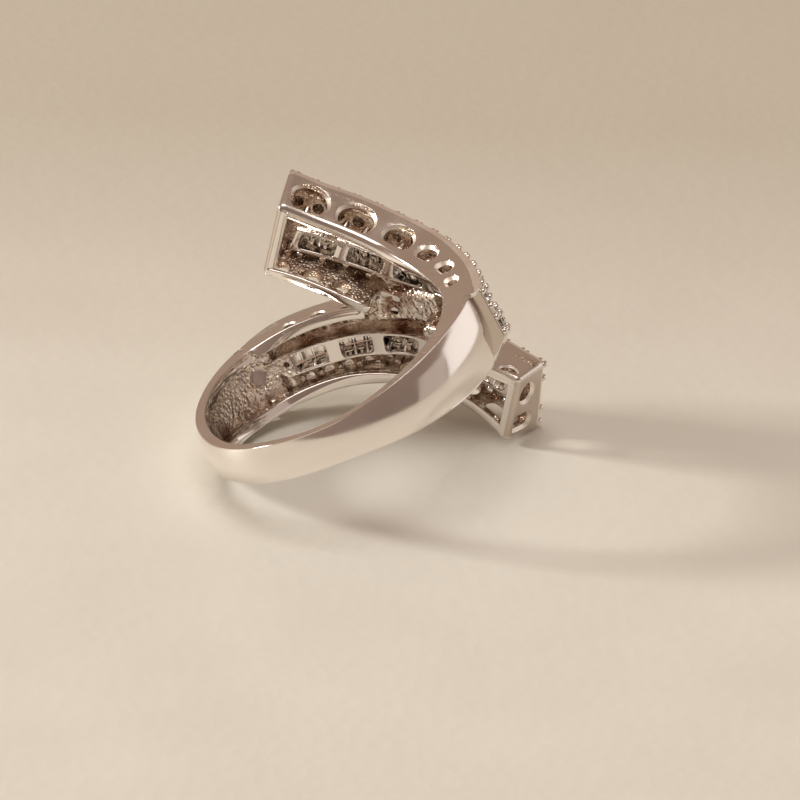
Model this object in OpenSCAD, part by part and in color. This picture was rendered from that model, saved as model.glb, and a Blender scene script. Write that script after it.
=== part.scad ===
// Crossover ring: a cast band whose two arms pass each other over the finger.
// Each arm is an open-backed box gallery. On top it carries a middle row of
// baguettes, in groups of three, between two rows of round stones.
//
// The ring is drawn about the finger axis: Z runs along the finger and Y points
// to the head, and angles are counted from Y towards X. A half turn about Y
// carries the upper arm onto the lower arm. The finished ring is then laid down
// on the points that it rests on.

/* [Finger hole] */
// Inside diameter of the ring
bore_d = 17.2; // [17:0.1:17.4]

/* [Gallery] */
// Thickness of the side walls of an arm
side_wall = 0.8; // [0.7:0.05:0.9]
// Thickness of the wall at the free end of an arm
end_wall = 0.8; // [0.7:0.05:0.9]
// Underside of the stone plate, as a share of the depth of the arm
plate_low = 0.66; // [0.62:0.01:0.7]
// Lower edge of the two rails, as a share of the depth of the arm
rail_low = 0.36; // [0.32:0.01:0.4]
// Clear width between the two rails
rail_gap = 1.2; // [1.15:0.05:1.25]
// Thickness of one rail
rail_wall = 0.2; // [0.18:0.02:0.24]
// Distance from the step to the front end of the rails
rail_start = 2.2; // [2:0.1:2.4]

/* [Shoulder scoop] */
// Depth of the scoop inside the shoulder, next to the gallery
scoop_depth = 1.2; // [1.1:0.05:1.3]
// Rim left on each side of the scoop, as a share of the width of the shank
scoop_rim = 0.19; // [0.17:0.01:0.21]

/* [Baguettes] */
// Baguettes in one group
group_stones = 3; // [3]
// Length of the slot for one group
slot_l = 2.75; // [2.7:0.05:2.8]
// Size of a baguette across the arm
baguette_l = 1.1; // [1.06:0.01:1.12]
// Size of a baguette along the arm
baguette_w = 0.78; // [0.74:0.01:0.8]
// Distance between the middles of two baguettes
baguette_pitch = 0.9; // [0.88:0.01:0.92]
// Height of the girdle of a baguette, as a share of the depth of the arm
baguette_level = 0.85; // [0.82:0.01:0.9]

/* [Round stones] */
// Diameter of a round stone
round_d = 1.34; // [1.28:0.01:1.36]
// Round stones in one row
row_stones = 14; // [13:14]
// Distance from the edge of the top to the middle of a round stone
row_edge = 0.95; // [0.92:0.01:0.98]
// Distance from the end of a row's edge to the middle of its first stone
row_end = 1.0; // [0.95:0.05:1.1]
// Diameter of the drilled hole below a round stone
azure_d = 0.8; // [0.7:0.05:0.85]

/* [Posts] */
// Diameter of a post that hangs from the stone plate between two round stones
post_d = 0.4; // [0.34:0.02:0.46]
// Lower end of a post, as a share of the depth of the arm
post_low = 0.42; // [0.4:0.01:0.5]
// Distance of a post from its row of round stones, towards the rails
post_inset = 0.3; // [0.2:0.05:0.35]

/* [Hidden] */
$fn = 48;
bore_r = bore_d / 2;

// The shank, from the middle of its back to the step at the upper arm.
// Columns: angle, height of the upper edge, height of the lower edge,
// outer radius at the upper edge, outer radius at the lower edge, rise of the dome.
SHANK = [
    [180, 1.31, -1.31, 9.33, 9.33, 0.22],
    [150, 1.22, -1.47, 9.33, 9.30, 0.25],
    [120, 1.60, -2.05, 9.50, 9.30, 0.35],
    [90, 2.08, -2.52, 9.89, 9.35, 0.45],
    [67, 2.45, -2.58, 10.60, 9.95, 0.40]
];

// The upper arm, from the step at the shoulder to its free end, a row for each
// cross-section. Columns: upper inner corner, lower inner corner, upper outer
// corner, lower outer corner, corner in the lower side. A corner is an angle,
// a radius and a height.
ARM = [
    [[66, 8.60, 2.46], [66, 8.60, -2.58], [66, 11.30, 2.48], [66, 11.40, -1.15], [66, 9.95, -2.56]],
    [[52, 8.60, 2.70], [48, 8.60, -2.43], [52, 11.35, 2.75], [48.5, 11.50, -2.20], [48, 11.00, -2.42]],
    [[38, 8.60, 3.10], [30, 8.60, -2.11], [38, 11.65, 3.15], [30.5, 11.90, -1.85], [30.3, 11.20, -1.95]],
    [[27, 8.62, 3.65], [13, 8.60, -1.50], [27, 12.05, 3.68], [14, 12.45, -1.05], [13.8, 11.50, -1.15]],
    [[17, 8.75, 4.38], [-3, 8.60, -0.24], [16, 12.55, 4.45], [-1.5, 12.75, 0.30], [-1.8, 11.80, 0.18]],
    [[6, 8.95, 5.45], [-17, 8.60, 1.56], [6, 12.75, 5.75], [-10.7, 12.97, 2.15], [-11.8, 12.00, 2.05]],
    [[-7, 9.00, 7.10], [-28, 9.15, 3.20], [-5, 12.75, 7.75], [-17.9, 13.05, 3.90], [-19.5, 12.10, 3.75]],
    [[-16, 8.93, 8.43], [-37, 9.85, 4.57], [-13, 12.45, 9.45], [-26, 13.24, 5.30], [-28, 12.40, 5.15]],
    [[-25, 8.84, 9.95], [-45, 10.80, 5.69], [-20.4, 12.33, 11.20], [-33, 13.59, 6.45], [-35, 12.90, 6.30]]
];
SHANK_END = len(SHANK) - 1;
ARM_END = len(ARM) - 1;

// The middle line of the rails. Columns: place along the arm in rows of ARM,
// place across the arm from the lower to the upper side.
RAIL_LINE = [
    [0, 0.48],
    [0.8, 0.51],
    [1.4, 0.55],
    [2, 0.565],
    [3.6, 0.565],
    [4.4, 0.535],
    [5.2, 0.505],
    [6, 0.45],
    [7.4, 0.40],
    [8, 0.39]
];

// Distance from the step to the middle of each group of baguettes.
GROUP_MIDDLES = [4.65, 8.52, 12.22, 15.76, 19.40];

// Windows in the side walls and in the end wall. The first column is the place in
// rows of ARM, or across the end wall. Then come the middle of the height, as a
// share of the depth of the arm, the width and the height.
UPPER_WINDOWS = [
    [7.17, 0.46, 2.5, 2.2],
    [5.73, 0.45, 2.45, 2.1],
    [4.53, 0.47, 2.1, 1.7],
    [3.25, 0.47, 1.45, 1.2],
    [2.05, 0.47, 1.2, 0.9],
    [1.2, 0.38, 0.95, 0.75]
];
LOWER_WINDOWS = [
    [7.38, 0.18, 1.25, 0.85],
    [6.42, 0.18, 1.25, 0.85],
    [5.55, 0.19, 1.2, 0.8],
    [2.6, 0.22, 1.2, 0.9],
    [1.85, 0.22, 1.1, 0.85],
    [1.15, 0.22, 1.0, 0.8]
];
END_WINDOWS = [
    [0.33, 0.40, 1.6, 1.6],
    [0.755, 0.40, 1.2, 1.8]
];

// The crossing, where one wall parts the two arms. Columns: angle, height of the
// middle of the wall, half the width of the cut below it.
CROSSING = [
    [12.5, -1.28, 0.75],
    [6, -0.72, 0.65],
    [0, 0, 0.55],
    [-6, 0.72, 0.65],
    [-12.5, 1.28, 0.75]
];
// The wall is cut away up to this radius. A web spans the crossing above it.
crossing_r = 10.2;
web_top_r = 11.5;
// The web. Columns: angle, height of the lower edge, height of the upper edge.
WEB = [
    [14, -1.75, 0.4],
    [5, -1.35, 0.8],
    [0, -1.08, 1.08],
    [-5, -0.8, 1.35],
    [-14, -0.4, 1.75]
];
// Small holes in the web. Columns: angle, height.
WEB_HOLES = [[-6, -0.05], [3, -0.71], [6, 0.05], [-3, 0.71]];
web_hole_d = 0.5;
// Radius at which a hole in the web ends.
web_hole_r = 10.9;

// The scoop inside the shoulder. Columns: angle, depth as a share of scoop_depth.
SCOOP = [[120, 0.02], [115, 0.3], [108, 0.55], [98, 0.76], [88, 0.88], [78, 0.96], [70, 1]];

// How far a cut reaches beyond the inner rim.
rim_reach = 0.3;
// Steps of a loft between two rows of a table.
loft_steps = 8;
// Clearance around a stone.
stone_gap = 0.03;
// Depth of the girdle of a stone below the top of the arm.
girdle_depth = 0.12;

// Value on a smooth curve through the rows of a table, at a place counted in rows.
function row_at(rows, i) = rows[max(0, min(len(rows) - 1, i))];
function smooth(rows, t) =
    let (
        i = floor(max(0, min(t, len(rows) - 1.0001))),
        f = t - i,
        a = row_at(rows, i - 1),
        b = row_at(rows, i),
        c = row_at(rows, i + 1),
        d = row_at(rows, i + 2)
    )
    b + f * 0.5 * ((c - a) + f * ((2 * a - 5 * b + 4 * c - d) + f * (3 * b - a - 3 * c + d)));
function mix(a, b, w) = a * (1 - w) + b * w;
function unit(v) = v / norm(v);
function around(p) = [p[1] * sin(p[0]), p[1] * cos(p[0]), p[2]];

// The four corners and the side corner of the arm's cross-section at t.
function corners(t) = [for (c = smooth(ARM, t)) around(c)];

// A point of the arm: t along it, w from the lower to the upper side, h from the
// inner rim to the outer face.
function arm_point(t, w, h) =
    let (c = corners(t))
    mix(mix(c[1], c[0], w), mix(c[3], c[2], w), h);
function arm_width(t, h) = norm(arm_point(t, 1, h) - arm_point(t, 0, h));
function arm_depth(t) = norm(arm_point(t, 0.5, 1) - arm_point(t, 0.5, 0));

// A point of the arm at a distance from the middle line, which runs from the
// middle of the top to the middle between the rails.
function middle(t, h) = 0.5 + (lookup(t, RAIL_LINE) - 0.5) * (1 - h) / (1 - rail_low);
function beside(t, offset, h) = arm_point(t, middle(t, h) + offset / arm_width(t, h), h);

// The middle of a row of round stones, as a distance from the middle line.
function row_offset(t, side) = side * (arm_width(t, 1) / 2 - row_edge);

// Distances along the top, on one side of the middle line or on it, as a table
// from distance to place t.
RULER_STEPS = 80;
function ruler_point(i, side) =
    let (t = min(i, RULER_STEPS) * ARM_END / RULER_STEPS)
    beside(t, row_offset(t, side), 1);
function ruler(side) = [
    for (
        i = 0, s = 0;
        i <= RULER_STEPS;
        s = s + norm(ruler_point(i + 1, side) - ruler_point(i, side)), i = i + 1
    )
    [s, i * ARM_END / RULER_STEPS]
];
MIDDLE_RULER = ruler(0);
function place(s) = lookup(s, MIDDLE_RULER);

// A point at a distance s along the middle line and at an offset square to it. The
// rows of ARM cross the arm at a slant.
function slant(t) =
    let (
        along = unit(beside(t + 0.05, 0, 1) - beside(t - 0.05, 0, 1)),
        across = unit(arm_point(t, 1, 1) - arm_point(t, 0, 1))
    )
    along * across;
function squared(s, offset, h) = beside(place(s - offset * slant(place(s))), offset, h);
function row_places(side) =
    let (table = ruler(side), length = table[RULER_STEPS][0] - 2 * row_end)
    [for (i = [0:row_stones - 1]) lookup(row_end + i * length / (row_stones - 1), table)];
ROW_PLACES = [row_places(-1), row_places(1)];
t_rail = place(rail_start);
t_last = place(MIDDLE_RULER[RULER_STEPS][0] - end_wall);

// Cross-sections of the shank and of the arm, as loops of eight points. The inner
// edge is drawn inside the bore, which is cut afterwards.
function inner_point(rim, side) =
    rim - unit(side - rim) * max(0, rim_reach - 2 * (norm([rim[0], rim[1]]) - bore_r));
function shank_section(t) =
    let (r = smooth(SHANK, t), inside = bore_r - rim_reach)
    [
        around([r[0], inside, r[2]]),
        around([r[0], inside, r[1]]),
        around([r[0], r[3], r[1]]),
        for (w = [0.8:-0.2:0.1])
            around([r[0], mix(r[4], r[3], w) + r[5] * 4 * w * (1 - w), mix(r[2], r[1], w)]),
        around([r[0], r[4], r[2]])
    ];
function arm_section(t) =
    let (c = corners(t))
    [
        inner_point(c[1], c[4]),
        inner_point(c[0], c[2]),
        c[2],
        for (w = [0.75:-0.25:0.1]) mix(c[3], c[2], w),
        c[3],
        c[4]
    ];

// A closed solid through a list of loops that have the same number of points.
// The ends are fans of triangles unless a list of triangles is given for them.
module loft(loops, ends = []) {
    n = len(loops[0]);
    last = (len(loops) - 1) * n;
    fan = [for (j = [1:n - 2]) [0, j, j + 1]];
    cap = len(ends) > 0 ? ends : fan;
    sides = [
        for (i = [0:len(loops) - 2], j = [0:n - 1])
            let (a = i * n + j, b = i * n + (j + 1) % n)
            each [[a, b + n, b], [a, a + n, b + n]]
    ];
    far_cap = [for (f = cap) [f[0] + last, f[2] + last, f[1] + last]];
    polyhedron([for (l = loops) each l], concat(sides, cap, far_cap));
}

// Carries a shape onto the arm's top, X along the arm, Y across it and Z outwards.
module on_top(t, offset, level = 1) {
    p = beside(t, offset, level);
    along = unit(beside(t + 0.05, offset, 1) - beside(t - 0.05, offset, 1));
    out = unit(cross(along, arm_point(t, 1, 1) - arm_point(t, 0, 1)));
    across = cross(out, along);
    multmatrix([
        [along[0], across[0], out[0], p[0]],
        [along[1], across[1], out[1], p[1]],
        [along[2], across[2], out[2], p[2]]
    ])
        children();
}

// Carries a shape drawn in the XY plane onto a wall: X along it, Y towards the top
// of the arm and Z through it.
module on_wall(p, ahead, above) {
    along = unit(ahead - p);
    through = unit(cross(along, above - p));
    rise = cross(through, along);
    multmatrix([
        [along[0], rise[0], through[0], p[0]],
        [along[1], rise[1], through[1], p[1]],
        [along[2], rise[2], through[2], p[2]]
    ])
        children();
}

// A window that is flat towards the rim and round towards the stones.
module half_moon(width, height) {
    intersection() {
        translate([0, height - width / 2])
            circle(d = width);
        translate([-width, 0])
            square([2 * width, 2 * height]);
    }
    if (height > width)
        translate([-width / 2, 0])
            square([width, height - width / 2]);
}
module side_window(v, w) {
    p = arm_point(v[0], w, v[1]);
    on_wall(p, arm_point(v[0] + 0.05, w, v[1]), arm_point(v[0], w, v[1] + 0.3))
        linear_extrude(2.4 * side_wall, center = true)
            translate([0, -v[3] / 2])
                half_moon(v[2], v[3]);
}
module end_window(v) {
    p = arm_point(ARM_END, v[0], v[1]);
    on_wall(p, arm_point(ARM_END, v[0] + 0.05, v[1]), arm_point(ARM_END, v[0], v[1] + 0.3))
        linear_extrude(2.6 * end_wall, center = true)
            translate([0, -v[3] / 2])
                half_moon(v[2], v[3]);
}

// Half of the band's outer form: the shank from the middle of its back to the
// step, and the arm from the step to its free end.
module half_form() {
    loft([
        for (i = [0:SHANK_END * loft_steps]) shank_section(i / loft_steps),
        for (i = [0:ARM_END * loft_steps]) arm_section(i / loft_steps)
    ]);
}

// The scoop in the shoulder, which runs on as a plain floor to the rails.
function scoop_section(angle, depth) =
    let (
        r = smooth(SHANK, lookup(angle, [[67, SHANK_END], [90, 3], [120, 2]])),
        low = mix(r[2], r[1], scoop_rim),
        high = mix(r[2], r[1], 1 - scoop_rim),
        inside = bore_r - 2 * rim_reach
    )
    [
        around([angle, inside, low]),
        around([angle, inside, high]),
        around([angle, bore_r + depth, mix(high, low, 0.06)]),
        around([angle, bore_r + depth, mix(low, high, 0.06)])
    ];
function floor_section(t) =
    let (w = (side_wall + stone_gap) / arm_width(t, 0), h = scoop_depth / arm_depth(t))
    [
        arm_point(t, w, -0.2),
        arm_point(t, 1 - w, -0.2),
        arm_point(t, 1 - w, h),
        arm_point(t, w, h)
    ];
module scoop() {
    loft([
        for (s = SCOOP) scoop_section(s[0], s[1] * scoop_depth),
        for (i = [0:4]) floor_section(mix(0.25, t_rail + 0.1, i / 4))
    ]);
}

// The gallery behind the stones, which leaves the two rails and what is between them.
COMB = [[0, 1, 4], [0, 4, 5], [1, 2, 3], [1, 3, 4], [0, 5, 6], [0, 6, 7]];
function gallery_section(t) =
    let (w = side_wall / arm_width(t, 0), reach = rail_gap / 2 + rail_wall)
    [
        arm_point(t, w, -0.2),
        arm_point(t, 1 - w, -0.2),
        arm_point(t, 1 - w, plate_low),
        beside(t, reach, plate_low),
        beside(t, reach, rail_low),
        beside(t, -reach, rail_low),
        beside(t, -reach, plate_low),
        arm_point(t, w, plate_low)
    ];
module gallery() {
    steps = 36;
    loft([for (i = [0:steps]) gallery_section(mix(t_rail, t_last, i / steps))], COMB);
}

// The slot for a group of baguettes, from the rails to the top.
module slot(middle) {
    loft([
        for (i = [-2:2])
            let (s = middle + i * slot_l / 4, reach = rail_gap / 2)
            [
                squared(s, -reach, rail_low - 0.1),
                squared(s, reach, rail_low - 0.1),
                squared(s, reach, 1.1),
                squared(s, -reach, 1.1)
            ]
    ]);
}

// A round bar or hole between two points.
module drill(from, to, d) {
    v = to - from;
    translate(from)
        rotate([0, acos(v[2] / norm(v)), atan2(v[1], v[0])])
            cylinder(d = d, h = norm(v));
}

// The seat of a round stone and the drilled hole below it.
module seat(t, side) {
    offset = row_offset(t, side);
    seat_r = round_d / 2 + stone_gap;
    on_top(t, offset)
        rotate_extrude()
            polygon([
                [0, -girdle_depth - 0.4],
                [0.34, -girdle_depth - 0.4],
                [seat_r, -girdle_depth - 0.03],
                [seat_r, 0.5],
                [0, 0.5]
            ]);
    drill(beside(t, offset, 1), beside(t, offset, plate_low - 0.1), azure_d);
}

// The posts of one arm, which end above the shallow floor next to the shoulder.
module posts() {
    for (row = [0, 1], i = [1:row_stones - 1]) {
        side = 2 * row - 1;
        t = (ROW_PLACES[row][i - 1] + ROW_PLACES[row][i]) / 2;
        offset = row_offset(t, side) - side * post_inset;
        if (t > t_rail + 0.2)
            drill(beside(t, offset, plate_low + 0.1), beside(t, offset, post_low), post_d);
    }
}

// The cut that joins the two galleries where the arms meet.
module crossing() {
    loft([
        for (c = CROSSING)
            [
                around([c[0], bore_r - rim_reach, c[1] - c[2]]),
                around([c[0], bore_r - rim_reach, c[1] + c[2]]),
                around([c[0], crossing_r, c[1] + c[2]]),
                around([c[0], crossing_r, c[1] - c[2]])
            ]
    ]);
}

// The web over the crossing, with its small holes.
module web() {
    difference() {
        web_form();
        for (v = WEB_HOLES)
            drill(around([v[0], bore_r, v[1]]), around([v[0], web_hole_r, v[1]]), web_hole_d);
    }
}
module web_form() {
    loft([
        for (v = WEB)
            [
                around([v[0], crossing_r, v[1]]),
                around([v[0], crossing_r, v[2]]),
                around([v[0], web_top_r, v[2]]),
                around([v[0], web_top_r, v[1]])
            ]
    ]);
}

both_arms = [0, 180];
module turned() {
    for (turn = both_arms)
        rotate([0, turn, 0])
            children();
}

module half_cuts() {
    scoop();
    gallery();
    for (m = GROUP_MIDDLES) slot(m);
    for (side = [0, 1], t = ROW_PLACES[side]) seat(t, 2 * side - 1);
    for (v = UPPER_WINDOWS) side_window(v, 1);
    for (v = LOWER_WINDOWS) side_window(v, 0);
    for (v = END_WINDOWS) end_window(v);
}

module whole_band() {
    color([0.83, 0.79, 0.75]) {
        difference() {
            turned() half_form();
            turned() half_cuts();
            crossing();
            cylinder(r = bore_r, h = 40, center = true, $fn = 96);
        }
        turned() posts();
        web();
    }
}

// A round stone with its girdle at the origin: an eight-sided table, a ring of
// crown facets down to a girdle of sixteen corners, and a pointed pavilion.
function ring(n, r, z) = [for (i = [0:n - 1]) [r * cos(i * 360 / n), r * sin(i * 360 / n), z]];
module round_stone() {
    r = round_d / 2;
    table = ring(8, 0.56 * r, 0.32 * r);
    girdle = ring(16, r, 0);
    top = [for (i = [1:6]) [0, i + 1, i]];
    crown = [
        for (i = [0:7])
            let (a = i, b = (i + 1) % 8, g = 8 + 2 * i)
            each [[a, b, g + 1], [a, g + 1, g], [b, 8 + (2 * i + 2) % 16, g + 1]]
    ];
    pavilion = [for (i = [0:15]) [8 + i, 8 + (i + 1) % 16, 24]];
    polyhedron(concat(table, girdle, [[0, 0, -0.86 * r]]), concat(top, crown, pavilion));
}

// A baguette with its girdle at the origin: a long table, four crown steps, and
// two steps below that close in a keel.
function oblong(l, w, z) = [[-w / 2, -l / 2, z], [w / 2, -l / 2, z], [w / 2, l / 2, z], [-w / 2, l / 2, z]];
module baguette() {
    keel = baguette_l - baguette_w;
    loft([
        oblong(keel + 0.04, 0.04, -0.64),
        oblong(baguette_l - 0.3, baguette_w - 0.3, -0.4),
        oblong(baguette_l, baguette_w, -0.04),
        oblong(baguette_l, baguette_w, 0.03),
        oblong(baguette_l - 0.2, baguette_w - 0.2, 0.15)
    ]);
}

module half_rounds() {
    color([0.93, 0.93, 0.95])
        for (side = [0, 1], t = ROW_PLACES[side])
            on_top(t, row_offset(t, 2 * side - 1))
                translate([0, 0, -girdle_depth])
                    round_stone();
}
module half_baguettes() {
    color([0.93, 0.92, 0.90])
        for (m = GROUP_MIDDLES, k = [0:group_stones - 1])
            on_top(place(m + (k - (group_stones - 1) / 2) * baguette_pitch), 0, baguette_level)
                baguette();
}

// The ring lies on the outer corner of the lower arm's free end and on the lower
// edge of the shank at its left side. The finished frame has Z up from there,
// Y along the head and its origin below the middle of the ring.
function half_turn(p) = [-p[0], p[1], -p[2]];
function shank_edge(t) = half_turn(shank_section(t)[2]);
rest_corner = half_turn(corners(ARM_END)[2]);
rest_edge = shank_edge(3);
rest_along = shank_edge(3 - 1 / loft_steps) - rest_edge;
rest_normal = unit(cross(rest_corner - rest_edge, rest_along));
up = rest_normal[2] > 0 ? rest_normal : -rest_normal;
ahead = unit([0, 1, 0] - up[1] * up);
right = cross(ahead, up);
FORM_POINTS = [
    for (i = [0:ARM_END * loft_steps], c = [2:7])
        let (p = arm_section(i / loft_steps)[c])
        each [p, half_turn(p)],
    for (i = [0:SHANK_END * loft_steps], c = [2:7])
        let (p = shank_section(i / loft_steps)[c])
        each [p, half_turn(p)]
];
function mid_span(v) =
    let (d = [for (p = FORM_POINTS) p * v])
    (min(d) + max(d)) / 2;
module laid() {
    multmatrix([
        [right[0], right[1], right[2], -mid_span(right)],
        [ahead[0], ahead[1], ahead[2], -mid_span(ahead)],
        [up[0], up[1], up[2], -rest_corner * up]
    ])
        children();
}

module band() laid() whole_band();
module upper_arm_rounds() laid() half_rounds();
module lower_arm_rounds() laid() rotate([0, 180, 0]) half_rounds();
module upper_arm_baguettes() laid() half_baguettes();
module lower_arm_baguettes() laid() rotate([0, 180, 0]) half_baguettes();

band();
upper_arm_rounds();
lower_arm_rounds();
upper_arm_baguettes();
lower_arm_baguettes();
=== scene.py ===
"""Crossover ring, lying on a pale surface: two open-backed arms set with stones.

The ring is shaped about its finger axis, in millimetres: Z runs along the finger,
Y points to the head, and angles are counted from Y towards X. A half turn about Y
carries the upper arm onto the lower arm. Plates are modelled flat and bent into
place, and the finished pieces are laid down and scaled to metres.
"""

import logging
import math
from contextlib import contextmanager
from dataclasses import dataclass, field
from enum import Enum
from typing import Callable, Iterable, Iterator, Sequence

import bmesh
import bpy
import numpy as np
from mathutils import Matrix, Vector


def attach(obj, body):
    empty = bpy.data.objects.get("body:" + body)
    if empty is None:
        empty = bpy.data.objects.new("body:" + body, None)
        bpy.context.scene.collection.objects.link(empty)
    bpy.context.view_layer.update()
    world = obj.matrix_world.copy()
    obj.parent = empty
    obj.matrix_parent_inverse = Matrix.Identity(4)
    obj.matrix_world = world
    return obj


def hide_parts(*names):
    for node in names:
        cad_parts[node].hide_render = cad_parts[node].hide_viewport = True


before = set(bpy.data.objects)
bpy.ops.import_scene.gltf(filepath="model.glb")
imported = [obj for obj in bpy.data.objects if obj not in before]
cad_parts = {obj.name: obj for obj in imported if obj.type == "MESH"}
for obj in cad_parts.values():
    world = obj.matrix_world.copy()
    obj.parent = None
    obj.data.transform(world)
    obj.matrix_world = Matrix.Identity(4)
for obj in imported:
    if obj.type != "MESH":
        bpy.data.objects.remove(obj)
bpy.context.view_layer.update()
log = logging.getLogger("crossover_ring")

MM = 0.001
Outline = Sequence[tuple[float, float]]
Spot = tuple[np.ndarray, np.ndarray]
Bend = Callable[[np.ndarray], np.ndarray]
Line = Callable[[np.ndarray], np.ndarray]
Colour = tuple[float, float, float]

BORE_R = 8.6
# Points nearer than this, in millimetres, are one point.
NEAR = 1e-4
# Edges sharper than this, in degrees, stay crisp.
CRISP_ANGLE = 40.0
# Distance between the cuts across a plate, and their shift off its own points.
ACROSS_STEP = 1.2
CUT_SHIFT = 0.0137
# The half turn that carries the upper arm onto the lower arm.
HALF_TURN = np.array([-1.0, 1.0, -1.0])

# The shank, from the middle of its back to the step at the upper arm. Columns:
# angle, height of the upper edge, height of the lower edge, outer radius at the
# upper edge, outer radius at the lower edge, rise of the dome.
SHANK = np.array([
    [180, 1.31, -1.31, 9.33, 9.33, 0.22],
    [150, 1.22, -1.47, 9.33, 9.30, 0.25],
    [120, 1.60, -2.05, 9.50, 9.30, 0.35],
    [90, 2.08, -2.52, 9.89, 9.35, 0.45],
    [67, 2.45, -2.58, 10.60, 9.95, 0.40],
])

# The upper arm, from the step to its free end. Columns: upper inner corner, lower
# inner corner, upper outer corner, lower outer corner, corner in the lower side.
# A corner is an angle, a radius and a height.
ARM = np.array([
    [[66, 8.60, 2.46], [66, 8.60, -2.58], [66, 11.30, 2.48], [66, 11.40, -1.15], [66, 9.95, -2.56]],
    [[52, 8.60, 2.70], [48, 8.60, -2.43], [52, 11.35, 2.75], [48.5, 11.50, -2.20], [48, 11.0, -2.42]],
    [[38, 8.60, 3.10], [30, 8.60, -2.11], [38, 11.65, 3.15], [30.5, 11.9, -1.85], [30.3, 11.2, -1.95]],
    [[27, 8.62, 3.65], [13, 8.60, -1.50], [27, 12.05, 3.68], [14, 12.45, -1.05], [13.8, 11.5, -1.15]],
    [[17, 8.75, 4.38], [-3, 8.60, -0.24], [16, 12.55, 4.45], [-1.5, 12.75, 0.30], [-1.8, 11.8, 0.18]],
    [[6, 8.95, 5.45], [-17, 8.60, 1.56], [6, 12.75, 5.75], [-10.7, 12.97, 2.15], [-11.8, 12.0, 2.05]],
    [[-7, 9.00, 7.10], [-28, 9.15, 3.2], [-5, 12.75, 7.75], [-17.9, 13.05, 3.9], [-19.5, 12.1, 3.75]],
    [[-16, 8.93, 8.43], [-37, 9.85, 4.57], [-13, 12.45, 9.45], [-26, 13.24, 5.3], [-28, 12.4, 5.15]],
    [[-25.9, 8.845, 10.1], [-45, 10.8, 5.69], [-20.4, 12.33, 11.2], [-33, 13.59, 6.45], [-35, 12.9, 6.3]],
])
ARM_END = len(ARM) - 1.0
SHANK_END = len(SHANK) - 1.0
# Where the arm begins, and how far the rails start behind it.
STEP_ANGLE = 66.0
RAIL_START = 2.2

# The middle line of the rails. Columns: place along the arm in rows of ARM, place
# across the arm from the lower to the upper side.
RAIL_LINE = np.array([
    [0, 0.48], [0.8, 0.51], [1.4, 0.55], [2, 0.565], [3.6, 0.565],
    [4.4, 0.535], [5.2, 0.505], [6, 0.45], [7.4, 0.40], [8, 0.39],
])

# Windows. Columns: place in rows of ARM, or across the end wall, middle of the
# height as a share of the depth, width, height.
UPPER_WINDOWS = [
    (7.17, 0.46, 2.5, 2.2), (5.73, 0.45, 2.45, 2.1), (4.53, 0.47, 2.1, 1.7),
    (3.25, 0.47, 1.45, 1.2), (2.05, 0.47, 1.2, 0.9), (1.2, 0.38, 0.95, 0.75),
]
LOWER_WINDOWS = [
    (7.38, 0.18, 1.25, 0.85), (6.42, 0.18, 1.25, 0.85), (5.55, 0.19, 1.2, 0.8),
    (2.6, 0.22, 1.2, 0.9), (1.85, 0.22, 1.1, 0.85), (1.15, 0.22, 1.0, 0.8),
]
END_WINDOWS = [(0.33, 0.40, 1.6, 1.6), (0.755, 0.40, 1.2, 1.8)]

# The scoop inside the shoulder. Columns: angle, depth as a share of the full depth.
SCOOP = np.array([
    [66, 1.0], [70, 1.0], [78, 0.96], [88, 0.88], [98, 0.76], [108, 0.55], [115, 0.3], [120, 0.02], [124, 0],
])

# The web over the crossing. Columns: angle, lower edge, upper edge.
WEB = np.array([[-14, -0.4, 1.75], [-5, -0.8, 1.35], [0, -1.08, 1.08], [5, -1.35, 0.8], [14, -1.75, 0.4]])
WEB_HOLES = [(-6, -0.05), (3, -0.71), (6, 0.05), (-3, 0.71)]

# The smooth spots in the scoops of both shoulders, as X, Y and Z of the upright ring.
SMOOTH_SPOTS = ((-8.90, 4.10, 0.16), (8.90, 4.10, -0.16))


def unit(v: np.ndarray) -> np.ndarray:
    """Returns vectors scaled to a length of one."""
    return v / np.linalg.norm(v, axis=-1, keepdims=True)


def around(p: np.ndarray) -> np.ndarray:
    """Turns angle, radius and height into X, Y and Z.

    Args:
        p: Array whose last axis is angle in degrees, radius and height.

    Returns:
        Array of the same shape with Cartesian coordinates.
    """
    a = np.radians(p[..., 0])
    return np.stack([p[..., 1] * np.sin(a), p[..., 1] * np.cos(a), p[..., 2]], -1)


def smooth(rows: np.ndarray, t: np.ndarray) -> np.ndarray:
    """Reads a table on a smooth curve through its rows.

    Args:
        rows: The table, one row for each place.
        t: Places counted in rows.

    Returns:
        The table's values at each place.
    """
    t = np.asarray(t, float)
    last = len(rows) - 1
    i = np.clip(np.floor(t).astype(int), 0, last - 1)
    f = (t - i).reshape(t.shape + (1,) * (rows.ndim - 1))
    a, b = rows[np.maximum(i - 1, 0)], rows[i]
    c, d = rows[i + 1], rows[np.minimum(i + 2, last)]
    return b + f * 0.5 * ((c - a) + f * ((2 * a - 5 * b + 4 * c - d) + f * (3 * b - a - 3 * c + d)))


def mix(a: np.ndarray, b: np.ndarray, w: np.ndarray) -> np.ndarray:
    """Returns points between a and b at the share w."""
    w = np.asarray(w, float)[..., None]
    return a * (1 - w) + b * w


class Side(Enum):
    """The two long sides of an arm."""

    UPPER = 1
    LOWER = 0


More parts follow.
